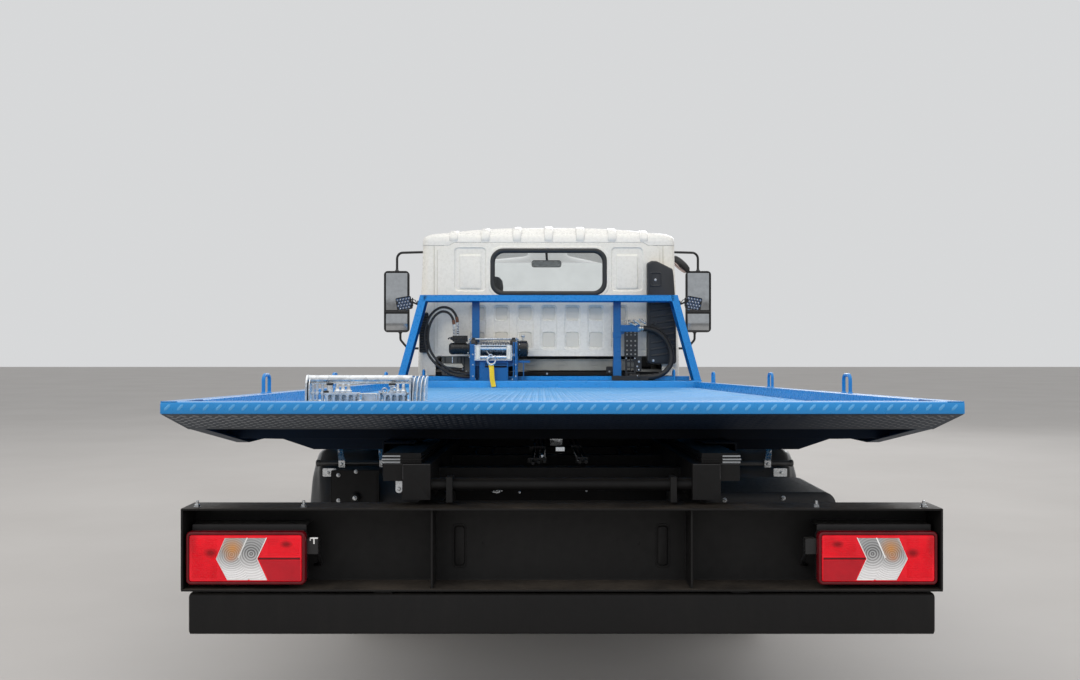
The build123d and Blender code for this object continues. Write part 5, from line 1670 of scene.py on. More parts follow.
for n_, (x0, x1) in {"driver": (-756, -274), "bench": (-186, 756)}.items():
    cushion(f"{n_}_cushion", x0, x1, 6345, 6846, 1206, 1336, 12, channels=3 if n_ == "driver" else 6)
    b = Piece()
    b.prism("z", rr(x0 + 20, x1 - 20, 6350, 6835, 40), 1150, 1214)
    done(b, f"{n_}_seat_base", PLASTIC, "chassis", "seats", bev=5)
    # backrest: a pad on end
    q = Piece()
    rows = []
    ny = 12
    for iz in range(ny + 1):
        t = iz / ny
        z = 1262 + (1762 - 1262) * t
        edge = 20 * (abs(2 * t - 1) ** 6)
        belly = 10 * math.sin(math.pi * t) ** .7
        sb_ = 6158 + 30 * t + edge * .6
        sf_ = 6318 - 26 * t - edge + belly
        rows.append([(x, s, z) for x, s in rr(x0 + 4 + edge * .8, x1 - 4 - edge * .8, sb_, sf_, 40, 7)])
    q.loft(rows)
    ob = done(q, f"{n_}_backrest", CLOTH, "chassis", "seats", sharp=80)
    pp = Piece()
    piping(pp, x0 + 8, x1 - 8, 6352, 6842, 1275)
    done(pp, f"{n_}_piping", PLASTIC_FINE, "chassis", "seats")
q = Piece()
rows = []
for k, (z, dx, ds) in enumerate(((1786, 128, 34), (1796, 137, 43), (1850, 140, 45), (1900, 132, 44), (1925, 112, 38), (1934, 88, 26))):
    rows.append([(x, s, z) for x, s in rr(-515 - dx, -515 + dx, 6245 - ds, 6245 + ds, 30, 7)])
q.loft(rows)
ob = done(q, "driver_headrest", CLOTH, "chassis", "seats", sharp=80)
q = Piece()
for x in (-560, -470):
    q.rod((x, 6245, 1750), (x, 6245, 1800), 6, 12)
done(q, "headrest_rods", CHROME, "chassis", "seats")

# ------------------------------------------------------------------ cab front, arches, steps
p = Piece()
p.mat = 0
p.prism("y", rr(-690, 690, 1020, 1225, 36, 6), 7722, 7738)
for z in range(1046, 1216, 34):
    p.prism("x", [(7736, z), (7756, z - 7), (7757, z - 1), (7737, z + 8)], -672, 672)
for x in (-420, -210, 0, 210, 420):
    p.box(x - 5, x + 5, 7737, 7750, 1024, 1221)
p.prism("y", rr(-560, 560, 842, 950, 30, 6), 7720, 7738)
for z in (868, 896, 924):
    p.prism("x", [(7736, z), (7754, z - 5), (7755, z), (7737, z + 6)], -545, 545)
done(p, "grille", PLASTIC, "chassis", "cab_front_panel", bev=1)
p = Piece()
for x0 in (-560, 60):
    a = on_front(x0, 1436, 22)
    b_ = on_front(x0 + 330, 1560, 14)
    p.rod((x0, a[1] - 14, 1425), (x0, a[1] + 12, 1430), 13, 16)
    p.tube([a, on_front(x0 + 160, 1500, 28), b_], 6, 10)
    p.tube([on_front(x0 + 330 - 290, 1506, 4), on_front(x0 + 330, 1560, 5), on_front(x0 + 330 + 260, 1608, 2)], 4.5, 8)
done(p, "wipers", PLASTIC_FINE, "chassis", "cab_front_panel")
p = Piece()
for sg in (1, -1):
    p.flip = sg
    arc = [(6650 + 470 * math.cos(math.radians(a)), 385 + 478 * math.sin(math.radians(a))) for a in range(18, 163, 8)]
    rings = []
    for s, z in arc:
        d = Vector((s - 6650, z - 385)).normalized()
        rings.append([(x, s + d.x * h, z + d.y * h) for x, h in ((850, 0), (1060, 0), (1074, 8), (1076, 26), (1068, 40),
                                                                   (1060, 40), (1064, 26), (1058, 10), (850, 6))])
    p.loft(rings)
    p.prism("x", [(7110, 470), (7480, 470), (7500, 560), (7110, 560)], 960, 1052)
    p.prism("x", [(7100, 560), (7510, 560), (7505, 800), (7100, 800)], 940, 1000)
    for s in range(7130, 7480, 26):
        p.box(965, 1048, s, s + 8, 559.5, 565)
done(p, "wheel_arches", PLASTIC, "chassis", "cab_side_panels", bev=1.2)
p = Piece()
for sg in (1, -1):
    p.flip = sg
    p.prism("x", rr(6240, 6300, 1230, 1262, 8), 1062, 1071)
done(p, "side_repeaters", LENS_AMBER, "chassis", "cab_side_panels", bev=2)
p = Piece()                                     # vent behind the left door
p.flip = -1
p.prism("y", rr(976, 1049, 1305, 1632, 14), 6016, 6044)
for z in range(1326, 1620, 22):
    p.prism("x", [(6014, z), (6010, z + 4), (6010, z + 12), (6016, z + 16), (6020, z + 16), (6020, z)], 984, 1041)
done(p, "cab_vent", PLASTIC_FINE, "chassis", "cab_side_panels", bev=1.5)

# ------------------------------------------------------------------ intake snorkel behind the cab's right side
p = Piece()
SN = [(794, 1215), (1030, 1215), (1028, 1650), (1008, 1930), (1000, 1982), (868, 2047), (828, 2048), (794, 2028)]
rings = []
for inset, s in ((10, 6037), (2, 6034), (0, 6026), (0, 5978), (2, 5966), (8, 5960), (14, 5958)):
    c_ = (908, 1632)
    rings.append([(c_[0] + (x - c_[0]) * (1 - inset / 120), s, c_[1] + (z - c_[1]) * (1 - inset / 416))
                  for x, z in round_poly(SN, [24, 24, 40, 40, 20, 14, 14, 14], 5)])
p.loft(rings)
done(p, "snorkel_duct", SNORKEL, "chassis", "snorkel", sharp=50)
p = Piece()
rings = []
for ds, inset in ((-2, 0), (-7, 1), (-9, 4), (-8, 9), (-3, 11)):
    rings.append([(x, 5959 + ds, z) for x, z in rr(814 + inset, 908 - inset, 1840 + inset, 1956 - inset, 12)])
p.loft(rings, caps=False, loop=True)
for i in range(9):                              # slanting louvres on the lower half
    z = 1268 + i * 52
    p.loft([[(826, 5962, z), (826, 5953, z + 6), (826, 5953, z + 15), (826, 5962, z + 21)],
            [(1012, 5962, z + 26), (1012, 5950, z + 32), (1012, 5950, z + 42), (1012, 5962, z + 48)]])
p.box(796, 812, 5951, 5962, 1240, 1900)
p.loft([[(x, 5962, z) for x, z in rr(846, 874, 1520, 1560, 6)], [(x, 5950, z) for x, z in rr(850, 870, 1524, 1556, 5)]])
done(p, "snorkel_ribs", SNORKEL, "chassis", "snorkel", bev=1.2)
p = Piece()
for x, z in ((860, 1893), (842, 1242), (1000, 1242)):
    p.bolt((x, 5952 if z < 1300 else 5958, z), (0, -1, 0), 9, True, 3)
done(p, "snorkel_bolts", ZINC, "chassis", "snorkel", bev=.4)

# what shows below the cab's back edge: engine cover, brackets, pipes
p = Piece()
p.mat = 0
p.prism("x", [(6100, 1168), (6106, 1168), (6106, 1252), (6100, 1252)], -250, 760)
p.prism("x", [(6085, 1246), (6106, 1246), (6106, 1252), (6085, 1252)], -250, 760)
p.prism("x", [(6085, 1160), (6112, 1160), (6112, 1168), (6085, 1168)], -250, 760)
for x0 in (-180, 60, 330, 590):
    p.prism("y", rr(x0, x0 + 74, 1200, 1220, 8), 6094, 6101)
# bracket in the paler grey: painted light
p.mat = 3
p.prism("y", round_poly([(-866, 1196), (-712, 1181), (-690, 1190), (-700, 1206), (-852, 1218)], 5), 6030, 6050)
p.prism("x", [(6050, 1186), (6062, 1186), (6062, 1216), (6050, 1216)], -850, -704)
p.mat = 2
p.prism("y", rr(-872, -602, 1120, 1282, 18), 6058, 6098)
p.prism("y", rr(-800, -742, 1216, 1282, 6), 6046, 6060)
p.mat = 1
p.prism("y", rr(-560, -330, 1130, 1226, 16), 6070, 6110)
for x0 in (-846, -716, -690, -640):
    p.box(x0, x0 + 7, 6052, 6060, 1130, 1274)
p.prism("y", rr(470, 552, 1128, 1192, 8), 6060, 6096)
p.tube(bent_bar([(-820, 6040, 1128), (-800, 6040, 1170), (-720, 6040, 1160), (-640, 6048, 1128)], 18, 5), 8, 10)
done(p, "engine_cover_back", [COVER_GREY, PLASTIC, BOX_GREY, BRACKET_LIT_GREY], "chassis", (), bev=1.5)
p = Piece()
for i in range(7):
    p.bolt((100 + 34 * i, 6092, 1140), (0, -1, 0), 6, True, 2)
p.tube([(60, 6090, 1128), (360, 6090, 1128)], 7, 10)
p.box(-786, -778, 6040, 6047, 1222, 1272)
for x, z in ((-732, 1154), (-700, 1168), (-668, 1150), (496, 1150), (530, 1168)):
    p.lathe((x, 6056, z), (0, -1, 0), [(0, 9), (5, 9), (6, 6), (12, 6), (13, 4)], 12)
p.rod((-13, 6082, 1133), (-13, 6066, 1133), 8, 14)
done(p, "engine_cover_bolts", ZINC, "chassis", (), bev=.4)

# ------------------------------------------------------------------ winch and what carries it
AU, AW = 5822, 309
p = Piece(True)
for x0, x1 in ((-625, -617), (-255, -247)):
    p.prism("x", round_poly([(5768, 54), (5878, 54), (5878, 310), (5852, 370), (5794, 370), (5768, 336)], [0, 0, 16, 14, 14, 10]),
            x0, x1)
p.prism("y", rr(-619, -582, 54, 344, 4), 5763, 5768)
window_plate(p, "y", rr(-548, -322, 54, 208, 3), rr(-504, -330, 158, 194, 6), 5772, 5778)
p.box(-617, -255, 5768, 5806, 208, 214)
p.box(-617, -255, 5806, 5812, 170, 214)
p.box(-617, -552, 5774, 5830, 54, 60)
p.box(-318, -255, 5774, 5830, 54, 60)
p.prism("x", [(5778, 60), (5830, 60), (5778, 150)], -548, -542)
p.prism("x", [(5778, 60), (5830, 60), (5778, 150)], -328, -322)
p.box(-284, -277, 5762, 5770, 60, 360)
p.box(-270, -255, 5763, 5768, 54, 360)
p.box(-250, -150, 5810, 5870, 208, 214)
p.prism("z", [(-250, 5808), (-150, 5808), (-150, 5814), (-250, 5814)], 196, 214)
p.box(-205, -197, 5812, 5868, 54, 210)
p.box(-222, -180, 5806, 5874, 54, 58)
# winch frame plates in the darker blue: painted shade
done(p, "winch_frame_plates", BLUE_POST_SHADE, "bed", "winch_frame", bev=1.2)
p = Piece(True)
for x, w in ((-600, 90), (-600, 180), (-600, 262), (-262, 90), (-262, 180)):
    p.bolt((x, 5763, w), (0, -1, 0), 5.5, True, 2)
for x in (-584, -287):
    p.bolt((x, 5800, 60), (0, 0, 1), 8, True, 4)
for u, w in ((5790, 240), (5855, 240), (5790, 340), (5855, 340)):
    p.bolt((-625, u, w), (-1, 0, 0), 7, True, 2)
done(p, "winch_frame_bolts", ZINC, "bed", "winch_frame", bev=.4)

p = Piece(True)
p.mat = 0
p.lathe((-625, AU, AW), (-1, 0, 0), [(0, 44), (4, 44), (4, 47), (16, 47), (18, 43), (26, 43), (28, 45), (122, 45), (124, 47), (150, 47),
                                      (158, 42), (166, 34), (168, 20)], 36)
p.prism("x", rr(AU - 46, AU + 46, AW - 46, AW + 46, 12), -637, -627)
for i in range(10):                             # cooling ribs of the motor
    x = -656 - 10 * i
    p.lathe((x, AU, AW), (-1, 0, 0), [(0, 44.5), (1.2, 46.6), (3, 46.6), (4.2, 44.5)], 32)
p.prism("z", rr(-764, -646, 5792, 5858, 7), 364, 411)          # valve block
p.prism("z", rr(-750, -660, 5800, 5850, 5), 352, 366)
p.lathe((-764, 5825, 390), (-1, 0, 0), [(0, 15), (10, 15), (12, 11), (18, 11)], 20)
p.tube(bent_bar([(-778, 5825, 390), (-790, 5824, 396), (-800, 5822, 386)], 4), 4.5, 10)
p.ball((-797, 5822, 388), 7, 14, 8)
p.lathe((-700, 5792, 388), (0, -1, 0), [(0, 13), (7, 13), (9, 10)], 6)
p.lathe((-738, 5792, 388), (0, -1, 0), [(0, 11), (7, 11), (9, 8)], 6)
p.lathe((-668, 5792, 388), (0, -1, 0), [(0, 9), (16, 9), (18, 7)], 18)
p.lathe((-617, AU, AW), (1, 0, 0), [(0, 34), (22, 34), (22, 30), (330, 30), (330, 34), (362, 34)], 28)
for x0, x1 in ((-612, -580), (-296, -262)):     # drum supports with their bosses for the tie bars
    p.prism("x", round_poly([(AU - 58, AW - 40), (AU + 58, AW - 40), (AU + 58, AW + 44), (AU + 42, AW + 76), (AU - 42, AW + 76),
                             (AU - 58, AW + 44)], 16), x0, x1)
    p.prism("x", rr(AU - 44, AU - 20, AW + 64, AW + 86, 6), x0 + 4, x1 - 4)
    p.prism("x", rr(AU + 22, AU + 46, AW + 60, AW + 82, 6), x0 + 4, x1 - 4)
for x in (-580, -308):                          # drum flanges
    p.lathe((x, AU, AW), (1, 0, 0), [(0, 60), (2, 64), (9, 64), (12, 60), (12, 32), (0, 32)], 40, loop=True)
p.lathe((-586, AU, AW), (1, 0, 0), [(0, 38), (298, 38)], 32)
p.lathe((-247, AU, AW), (1, 0, 0), [(0, 64), (12, 64), (14, 60), (20, 60), (22, 64), (66, 64), (74, 61), (80, 50), (84, 34),
                                    (86, 14)], 44)
p.mat = 1
for i in range(8):
    a = i * math.pi / 4 + .2
    p.bolt((-180, AU + 50 * math.cos(a), AW + 50 * math.sin(a)), (1, -.25, 0), 5, False)
    p.bolt((-247 + 16, AU + 60 * math.cos(a), AW + 60 * math.sin(a)), (0, math.cos(a), math.sin(a)), 4.4, False)
    p.bolt((-247 + 4, AU + 60 * math.cos(a), AW + 60 * math.sin(a)), (-.3, math.cos(a), math.sin(a)), 3.4, False)
for u, w in ((5784, 273), (5784, 347), (5860, 273), (5860, 347)):
    p.bolt((-637, u, w), (-1, 0, 0), 5.5, True, 2)
for u, w in ((AU - 32, AW + 76), (AU + 34, AW + 72)):       # tie bars and nuts
    p.rod((-634, u, w), (-240, u, w), 6.2, 16)
    for x, d in ((-612, -1), (-262, 1)):
        p.lathe((x, u, w), (d, 0, 0), [(0, 11), (9, 11)], 6)
p.lathe((-616, AU - 30, AW + 84), (0, 0, 1), [(0, 8), (14, 8), (16, 5)], 6)
p.rod((-205, AU, 366), (-205, AU, 400), 6, 14)  # clutch knob
p.lathe((-205, AU, 398), (0, 0, 1), [(0, 7), (2, 14), (9, 17), (16, 15), (20, 8)], 20)
for x in (-752, -724):                          # nuts of the hose ends
    p.lathe((x, 5825, 408), (0, 0, 1), [(0, 14.5), (13, 14.5)], 6)
done(p, "winch_drive", [SATIN, ZINC], "bed", "winch", bev=.9)

p = Piece(True)                                 # wire rope, one layer, laid in a helix
pts = []
turns, n = 18, 24
for i in range(turns * n + 1):
    a = 2 * math.pi * i / n
    pts.append((-562 + (252 * i / (turns * n)), AU + 46 * math.cos(a), AW + 46 * math.sin(a)))
p.tube(pts, 6.6, 8)
pts = []
turns = 12
for i in range(turns * n + 1):                  # a second, looser layer
    a = 2 * math.pi * i / n
    pts.append((-554 + (236 * i / (turns * n)), AU + 55 * math.cos(a), AW + 55 * math.sin(a)))
p.tube(pts, 5.6, 7)
p.tube([(-520, 5770, 332), (-500, 5760, 296), (-482, 5746, 274), (-466, 5728, 258), (-456, 5716, 246)], 5.5, 10)
done(p, "winch_rope", STEEL, "bed", "winch")

p = Piece(True)                                 # roller fairlead
p.mat = 0
window_plate(p, "y", rr(-586, -290, 216, 333, 6), rr(-578, -298, 223, 326, 4), 5761, 5766)
for w0, w1 in ((214, 220), (328, 334)):
    p.prism("z", round_poly([(-588, 5731), (-290, 5731), (-290, 5764), (-588, 5764)], 5), w0, w1)
for x in (-560, -315):
    for w in (212, 333):
        p.lathe((x, 5748, w), (0, 0, 1), [(0, 10), (5, 10), (6, 7)], 6)
for w in (240, 308):
    p.lathe((-577, 5747, w), (1, 0, 0), [(0, 12.4), (2, 13.2), (277, 13.2), (279, 12.4)], 28)
    for x in (-584, -298):
        p.rod((x, 5747, w), (x + 8, 5747, w), 6, 12)
p.mat = 1
for x in (-559, -316):
    p.lathe((x, 5742, 221), (0, 0, 1), [(0, 16.6), (2, 19), (105, 19), (107, 16.6)], 28)
p.mat = 0
done(p, "fairlead_rollers", [ZINC_BRIGHT, ROLLER], "bed", "winch_fairlead", bev=.8)

p = Piece(True)                                 # hook: eye, throat and two claws
HC = Vector((-452, 5712, 212))
pts, rad = [], []
for k in range(37):
    a = math.radians(118 + 250 * k / 36)
    pts.append(HC + Vector((31 * math.cos(a), 0, 31 * math.sin(a))))
    rad.append(8.6 - 3.6 * max(0.0, (k - 28) / 8) - 3.2 * max(0.0, (5 - k) / 5))
p.tube(pts, rad, 12)
p.tube([HC + Vector(q) for q in ((27, 0, 12), (34, -2, 22), (33, -5, 34), (27, -6, 42))], [6, 6.4, 5.4, 2.6], 10)
p.tube([HC + Vector(q) for q in ((-14, 0, 27), (-22, -2, 36), (-16, -4, 46), (-4, -2, 50))], [6, 6.4, 5.2, 3.4], 10)
p.ring(HC + Vector((-4, -5, 40)), (0, 1, 0), 14, 7, 10, 24)
p.tube([HC + Vector((-26, -7, 14)), HC + Vector((-6, -9, 30)), HC + Vector((16, -8, 22))], 3.2, 8)
done(p, "hook_body", ZINC_BRIGHT, "bed", "winch_hook")

# yellow strap: a woven tape, hung from the hook, its end resting on the plate's edge
p = Piece(True)
rows = []
NS, NW = 40, 6
for i in range(NS + 1):
    t = i / NS
    w = 190 - 184 * t
    c = -457 + 22 * t + 2.5 * math.sin(7 * t)
    u = 5712 - 2.2 * math.sin(5.2 * t) - 1.5 * t
    tw = 0.10 * math.sin(4.4 * t)
    row = []
    for j in range(NW + 1):
        a = (j / NW - .5) * 38
        row.append((c + a * math.cos(tw), u + a * math.sin(tw) + 1.3 * math.sin(a * .14 + 3 * t), w + 0.12 * a))
    rows.append(row)
vr = [[p.v(q) for q in r] for r in rows]
for a, b in zip(vr, vr[1:]):
    for j in range(NW):
        p.f([a[j], a[j + 1], b[j + 1], b[j]])
strap = done(p, "strap_tape", STRAP, "bed", "tow_strap", sharp=80)
m = strap.modifiers.new("Thick", "SOLIDIFY")
m.thickness, m.offset = 0.0022, 0
strap_hem = Piece(True)
for t0 in (0.03, 0.09):
    w = 190 - 184 * t0
    c = -457 + 22 * t0
    strap_hem.tube([(c - 15, 5709.6, w), (c + 15, 5709.6, w + 3)], 0.9, 6)
hem = done(strap_hem, "strap_stitches", STRAP, "bed", "tow_strap")

# ------------------------------------------------------------------ hose carrier, ladder and base on the right
plate = Piece(True)
plate.prism("y", rr(608, 711, 250, 446, 4), 5892, 5898)
plate = solid(plate, "plate")
holes = Piece(True)
for x in (627, 659, 692):
    for w in (441, 420, 372, 335, 297, 266):
        holes.lathe((x, 5886, w), (0, 1, 0), [(0, 7), (20, 7)], 14)
boolean(plate, solid(holes))
finish_solid(plate, "carrier_plate", PLASTIC_FINE, "bed", "hose_carrier")
p = Piece(True)
p.mat = 0
for x0, x1 in ((606, 612), (707, 713)):
    p.box(x0, x1, 5890, 5925, 250, 446)
p.box(608, 711, 5890, 5925, 247, 252)
for x0, x1 in ((612, 628), (682, 698)):
    p.prism("z", rr(x0, x1, 5893, 5917, 3), 54, 252)
for w in (110, 155, 200):
    p.prism("z", rr(624, 686, 5896, 5912, 2), w, w + 12)
p.prism("y", rr(700, 742, 130, 250, 8), 5890, 5897)
p.prism("z", rr(596, 745, 5838, 5930, 12), 54, 62)
p.prism("y", rr(500, 792, 57, 92, 7), 5828, 5840)
p.prism("z", [(500, 5828), (560, 5828), (560, 5930), (500, 5930)], 90, 94)
p.prism("x", rr(5834, 5884, 62, 104, 8), 640, 712)
p.lathe((708, 5850, 82), (1, 0, 0), [(0, 27), (14, 27), (17, 24)], 28)
p.tube(bent_bar([(742, 5870, 60), (830, 5868, 62), (900, 5866, 92), (948, 5866, 150)], 60, 6), 5, 10)
for x0 in (622, 655, 688):
    p.tube([(x0, 5900, 245), (x0 + 2, 5903, 120), (x0 + 18, 5888, 64)], 5.2, 10)
p.mat = 1
for x, w in ((722, 206), (708, 168), (704, 92), (720, 140)):
    p.bolt((x, 5890 if w > 120 else 5836, w), (0, -1, 0), 8 if w > 200 else 6, True, 3)
for x, w in ((620, 232), (690, 232), (620, 74), (690, 74)):
    p.bolt((x, 5893, w), (0, -1, 0), 5, True, 2)
done(p, "carrier_frame", [PLASTIC_FINE, ZINC], "bed", "hose_carrier", bev=.9)


def spline(pts, t):
    """Point and direction on the clamped quadratic B-spline of a hose's route; t from 0 to 1."""
    pts = [Vector(q) for q in pts]
    m_ = len(pts)
    knots = [0.0] * 3 + [float(i) for i in range(1, m_ - 2)] + [float(m_ - 2)] * 3
    x = t * (m_ - 2) * .999999
    k = 2
    while knots[k + 1] <= x:
        k += 1
    d = [pts[j + k - 2].copy() for j in range(3)]
    dirs = None
    for r in range(1, 3):
        if r == 2:
            dirs = d[2] - d[1]
        for j in range(2, r - 1, -1):
            lo = knots[j + k - 2]
            al = (x - lo) / (knots[j + 1 + k - r] - lo)
            d[j] = d[j - 1] * (1 - al) + d[j] * al
    return d[2], dirs.normalized()


p = Piece(True)                                 # ribbed sleeve over the conduit's upper part
for i in range(26):
    c, d = spline(CONDUIT, 0.035 + i * 0.0175)
    p.lathe(c - d * 5, d, [(0, 21.3), (1.5, 23.6), (4.5, 24.2), (7.5, 23.6), (9, 21.3)], 24, caps=False)
done(p, "conduit_sleeve", HOSE, "bed", "conduit")
p = Piece(True)                                 # nipples and crimped sleeves of the two winch hoses
for route in (HOSE_IN, HOSE_OUT):
    for i in range(13):
        c, d = spline(route, 0.004 + i * 0.0093)
        p.mat = 0 if i < 8 else 1
        prof = [(0, 10.6), (1, 11.4), (7, 11.4), (8, 10.6)] if i < 8 else [(0, 11.2), (1.4, 12.8), (7, 12.8), (8.4, 11.2)]
        p.lathe(c - d * 4, d, prof, 20, caps=False)
done(p, "hose_crimps", [ZINC_BRIGHT, CRIMP], "bed", ("hose_inner", "hose_outer"))

# ------------------------------------------------------------------ work lamps
for side, sg in (("left", -1), ("right", 1)):
    p = Piece(True)
    p.flip = sg
    p.mat = 0
    tilt = math.radians(-10)
    C = (1144, 5780, 665)

    def tl(x, w):
        return (C[0] + x * math.cos(tilt) - w * math.sin(tilt), C[2] + x * math.sin(tilt) + w * math.cos(tilt))
    rings = []
    for s, inset in ((5758, 8), (5753, 3), (5753, 0), (5776, 0), (5781, 2), (5792, 10), (5794, 16)):
        rings.append([(*(tl(a, b)[:1]), s, tl(a, b)[1]) for a, b in rr(-61 + inset, 61 - inset, -52 + inset, 52 - inset, 12)])
    p.loft(rings)
    for k in range(7):                          # fins
        a = -48 + 16 * k
        q0 = [tl(a - 1.4, -44), tl(a + 1.4, -44), tl(a + 1.4, 44), tl(a - 1.4, 44)]
        p.prism("y", q0, 5790, 5811)
    # bracket and arm
    x0, w0 = tl(-64, 0)
    p.prism("y", rr(x0 - 6, x0 + 2, w0 - 34, w0 + 34, 3), 5766, 5796)
    p.prism("y", [(1036, 650), (x0, w0 - 8), (x0, w0 + 8), (1036, 664)], 5777, 5791)
    p.rod((x0 - 8, 5784, w0), (x0 + 8, 5784, w0), 7, 14)
    p.prism("y", rr(1022, 1042, 630, 688, 4), 5772, 5798)
    p.tube([(1104, 5796, 676), (1086, 5802, 700), (1062, 5804, 694), (1044, 5800, 664), (1030, 5796, 640)], 3.6, 8)
    p.mat = 1                                   # honeycomb of reflectors
    for r in range(4):
        for c in range(4 if r % 2 == 0 else 5):
            a = -46 + 23 * c + (11.5 if r % 2 == 0 else 0)
            b = -34.5 + 23 * r
            if abs(a) < 54:
                x, w = tl(a, b)
                p.lathe((x, 5757, w), (0, -1, 0), [(0, 4), (.5, 4), (1, 5), (4, 10.2), (5.6, 11.4), (5.6, 12.6), (0, 12.6)], 6,
                        phase=.52)
    p.mat = 2
    for r in range(4):
        for c in range(4 if r % 2 == 0 else 5):
            a = -46 + 23 * c + (11.5 if r % 2 == 0 else 0)
            b = -34.5 + 23 * r
            if abs(a) < 54:
                x, w = tl(a, b)
                p.lathe((x, 5757, w), (0, -1, 0), [(0, 4.2), (3, 3.6), (4.4, 1.6)], 10)
    done(p, f"work_lamp_{side}", [PLASTIC_FINE, LED_CUP, LED_CHIP], "bed", "work_lamps", bev=.5)

# ------------------------------------------------------------------ mirrors
for side, sg in (("left", -1), ("right", 1)):
    p = Piece()
    p.flip = sg
    rings = []
    for s, inset, r in ((7644, 12, 24), (7634, 10, 26), (7630, 5, 32), (7632, 1, 36), (7640, 0, 38), (7668, 0, 38), (7684, 5, 36),
                        (7695, 18, 30), (7699, 36, 24), (7700, 60, 12)):
        rings.append([(x, s, z) for x, z in rr(1310 + inset, 1552 - inset, 1482 + inset, 2065 - inset, r, 7)])
    p.loft(rings)
    p.prism("x", rr(7632, 7648, 1666, 1684, 4), 1318, 1544)
    arm = bent_bar([(1430, 7662, 2040), (1430, 7662, 2238), (1010, 7542, 2240), (985, 7362, 2180)], 58, 8)
    p.tube(arm, 11.5, 16)
    p.tube(bent_bar([(1400, 7662, 1500), (1398, 7664, 1412), (1330, 7668, 1330), (1020, 7672, 1330)], 40, 7), 11, 14)
    p.lathe((1430, 7662, 2056), (0, 0, 1), [(0, 20), (14, 20), (20, 14), (34, 12)], 20)
    p.lathe((1399, 7663, 1494), (0, 0, -1), [(0, 20), (14, 20), (20, 13), (30, 11.5)], 20)
    for x, s, z in ((988, 7372, 2178), (1030, 7672, 1330)):
        p.prism("x", rr(s - 26, s + 26, z - 34, z + 34, 12), x - 4, x + 12)
    for k in range(3):
        p.box(1330, 1530, 7699, 7701.5, 1900 - 120 * k, 1904 - 120 * k)
    done(p, f"mirror_housing_{side}", PLASTIC_FINE, "chassis", "mirrors", sharp=45)
    p = Piece()
    p.flip = sg
    for z0, z1 in ((1694, 2045), (1502, 1658)):         # panes, a little convex
        rows = []
        for i in range(9):
            z = z0 + (z1 - z0) * i / 8
            row = []
            for j in range(7):
                x = 1330 + (1532 - 1330) * j / 6
                b = 5 * (1 - (2 * j / 6 - 1) ** 2) + 5 * (1 - (2 * i / 8 - 1) ** 2)
                row.append((x, 7642 - b, z))
            rows.append(row)
        front_ = [[p.v(q) for q in r] for r in rows]
        back_ = [[p.v((q[0], 7643, q[2])) for q in r] for r in rows]
        for g in (front_, back_):
            for a, b in zip(g, g[1:]):
                for j in range(6):
                    p.f([a[j], a[j + 1], b[j + 1], b[j]])
        edge_f = front_[0] + [r[-1] for r in front_[1:]] + list(reversed(front_[-1][:-1])) + [r[0] for r in reversed(front_[1:-1])]
        edge_b = back_[0] + [r[-1] for r in back_[1:]] + list(reversed(back_[-1][:-1])) + [r[0] for r in reversed(back_[1:-1])]
        for i in range(len(edge_f)):
            k = (i + 1) % len(edge_f)
            p.f([edge_f[i], edge_f[k], edge_b[k], edge_b[i]])
    done(p, f"mirror_panes_{side}", MIRROR, "chassis", "mirrors", sharp=60)
p = Piece()                                     # kerb mirror on the right arm
rings = []
d = Vector((.74, -.10, -.67)).normalized()
e = Vector((.67, .0, .74)).normalized()
g = d.cross(e)
C = Vector((1262, 7640, 2130))
for k in range(11):
    t = -1 + 2 * k / 10
    r = math.sqrt(max(0.0, 1 - t * t)) ** .8
    c = C + d * (112 * t)
    rings.append([tuple(c + (e * math.cos(q) * 46 + g * math.sin(q) * 48) * max(r, .06)) for q in
                  (2 * math.pi * i / 20 for i in range(20))])
p.loft(rings)
p.tube([(1180, 7622, 2170), (1150, 7600, 2200), (1140, 7588, 2236)], 9, 12)
done(p, "kerb_mirror_shell", PLASTIC_FINE, "chassis", "mirrors", sharp=70)
p = Piece()
rings = []
for k in range(9):
    t = -.82 + 1.64 * k / 8
    r = math.sqrt(max(0.0, 1 - t * t))
    c = C + d * (106 * t) - e * 26
    rings.append([tuple(c + (e * -math.cos(q) * 25 + g * math.sin(q) * 41) * max(r, .1)) for q in
                  (math.pi * i / 10 - math.pi / 2 for i in range(11))])
p.loft(rings)
done(p, "kerb_mirror_glass", MIRROR_WARM_REFLECTION, "chassis", "mirrors", sharp=60)

# ------------------------------------------------------------------ tyres
TYRE_SIDE = [(0, 385), (14.5, 385), (16.5, 374), (21.5, 374), (23.5, 384.8), (45.5, 384.2), (47.5, 373.5), (52.5, 373.5),
             (54.5, 383.6), (66, 382.4), (80, 379.2), (88, 375), (94.5, 366), (98, 354), (100.2, 346), (101.8, 345), (101.8, 341),
             (101, 340), (102.3, 318), (102.5, 300), (101, 280), (97, 262), (91, 250), (86.5, 244), (85.5, 236), (84, 228),
             (80, 223), (74, 223), (80, 262), (88, 300), (85, 338), (70, 361), (40, 366), (0, 367)]
TYRE_LOOP = TYRE_SIDE + [(-x, r) for x, r in reversed(TYRE_SIDE[1:-1])]


def tyre_into(q, xc, sc):
    """A ring of rubber with four grooves and cut shoulders, about its axle."""
    rings = []
    n = 180
    for i in range(n):
        a = 2 * math.pi * i / n
        ring_ = []
        for x, r in TYRE_LOOP:
            if 54.6 < abs(x) < 97 and r > 360 and (i + (2 if x < 0 else 0)) % 4 == 0:
                r -= 7.5
            ring_.append((xc + x, sc + r * math.cos(a), 385 + r * math.sin(a)))
        rings.append(ring_)
    q.loft(rings, loop=True)


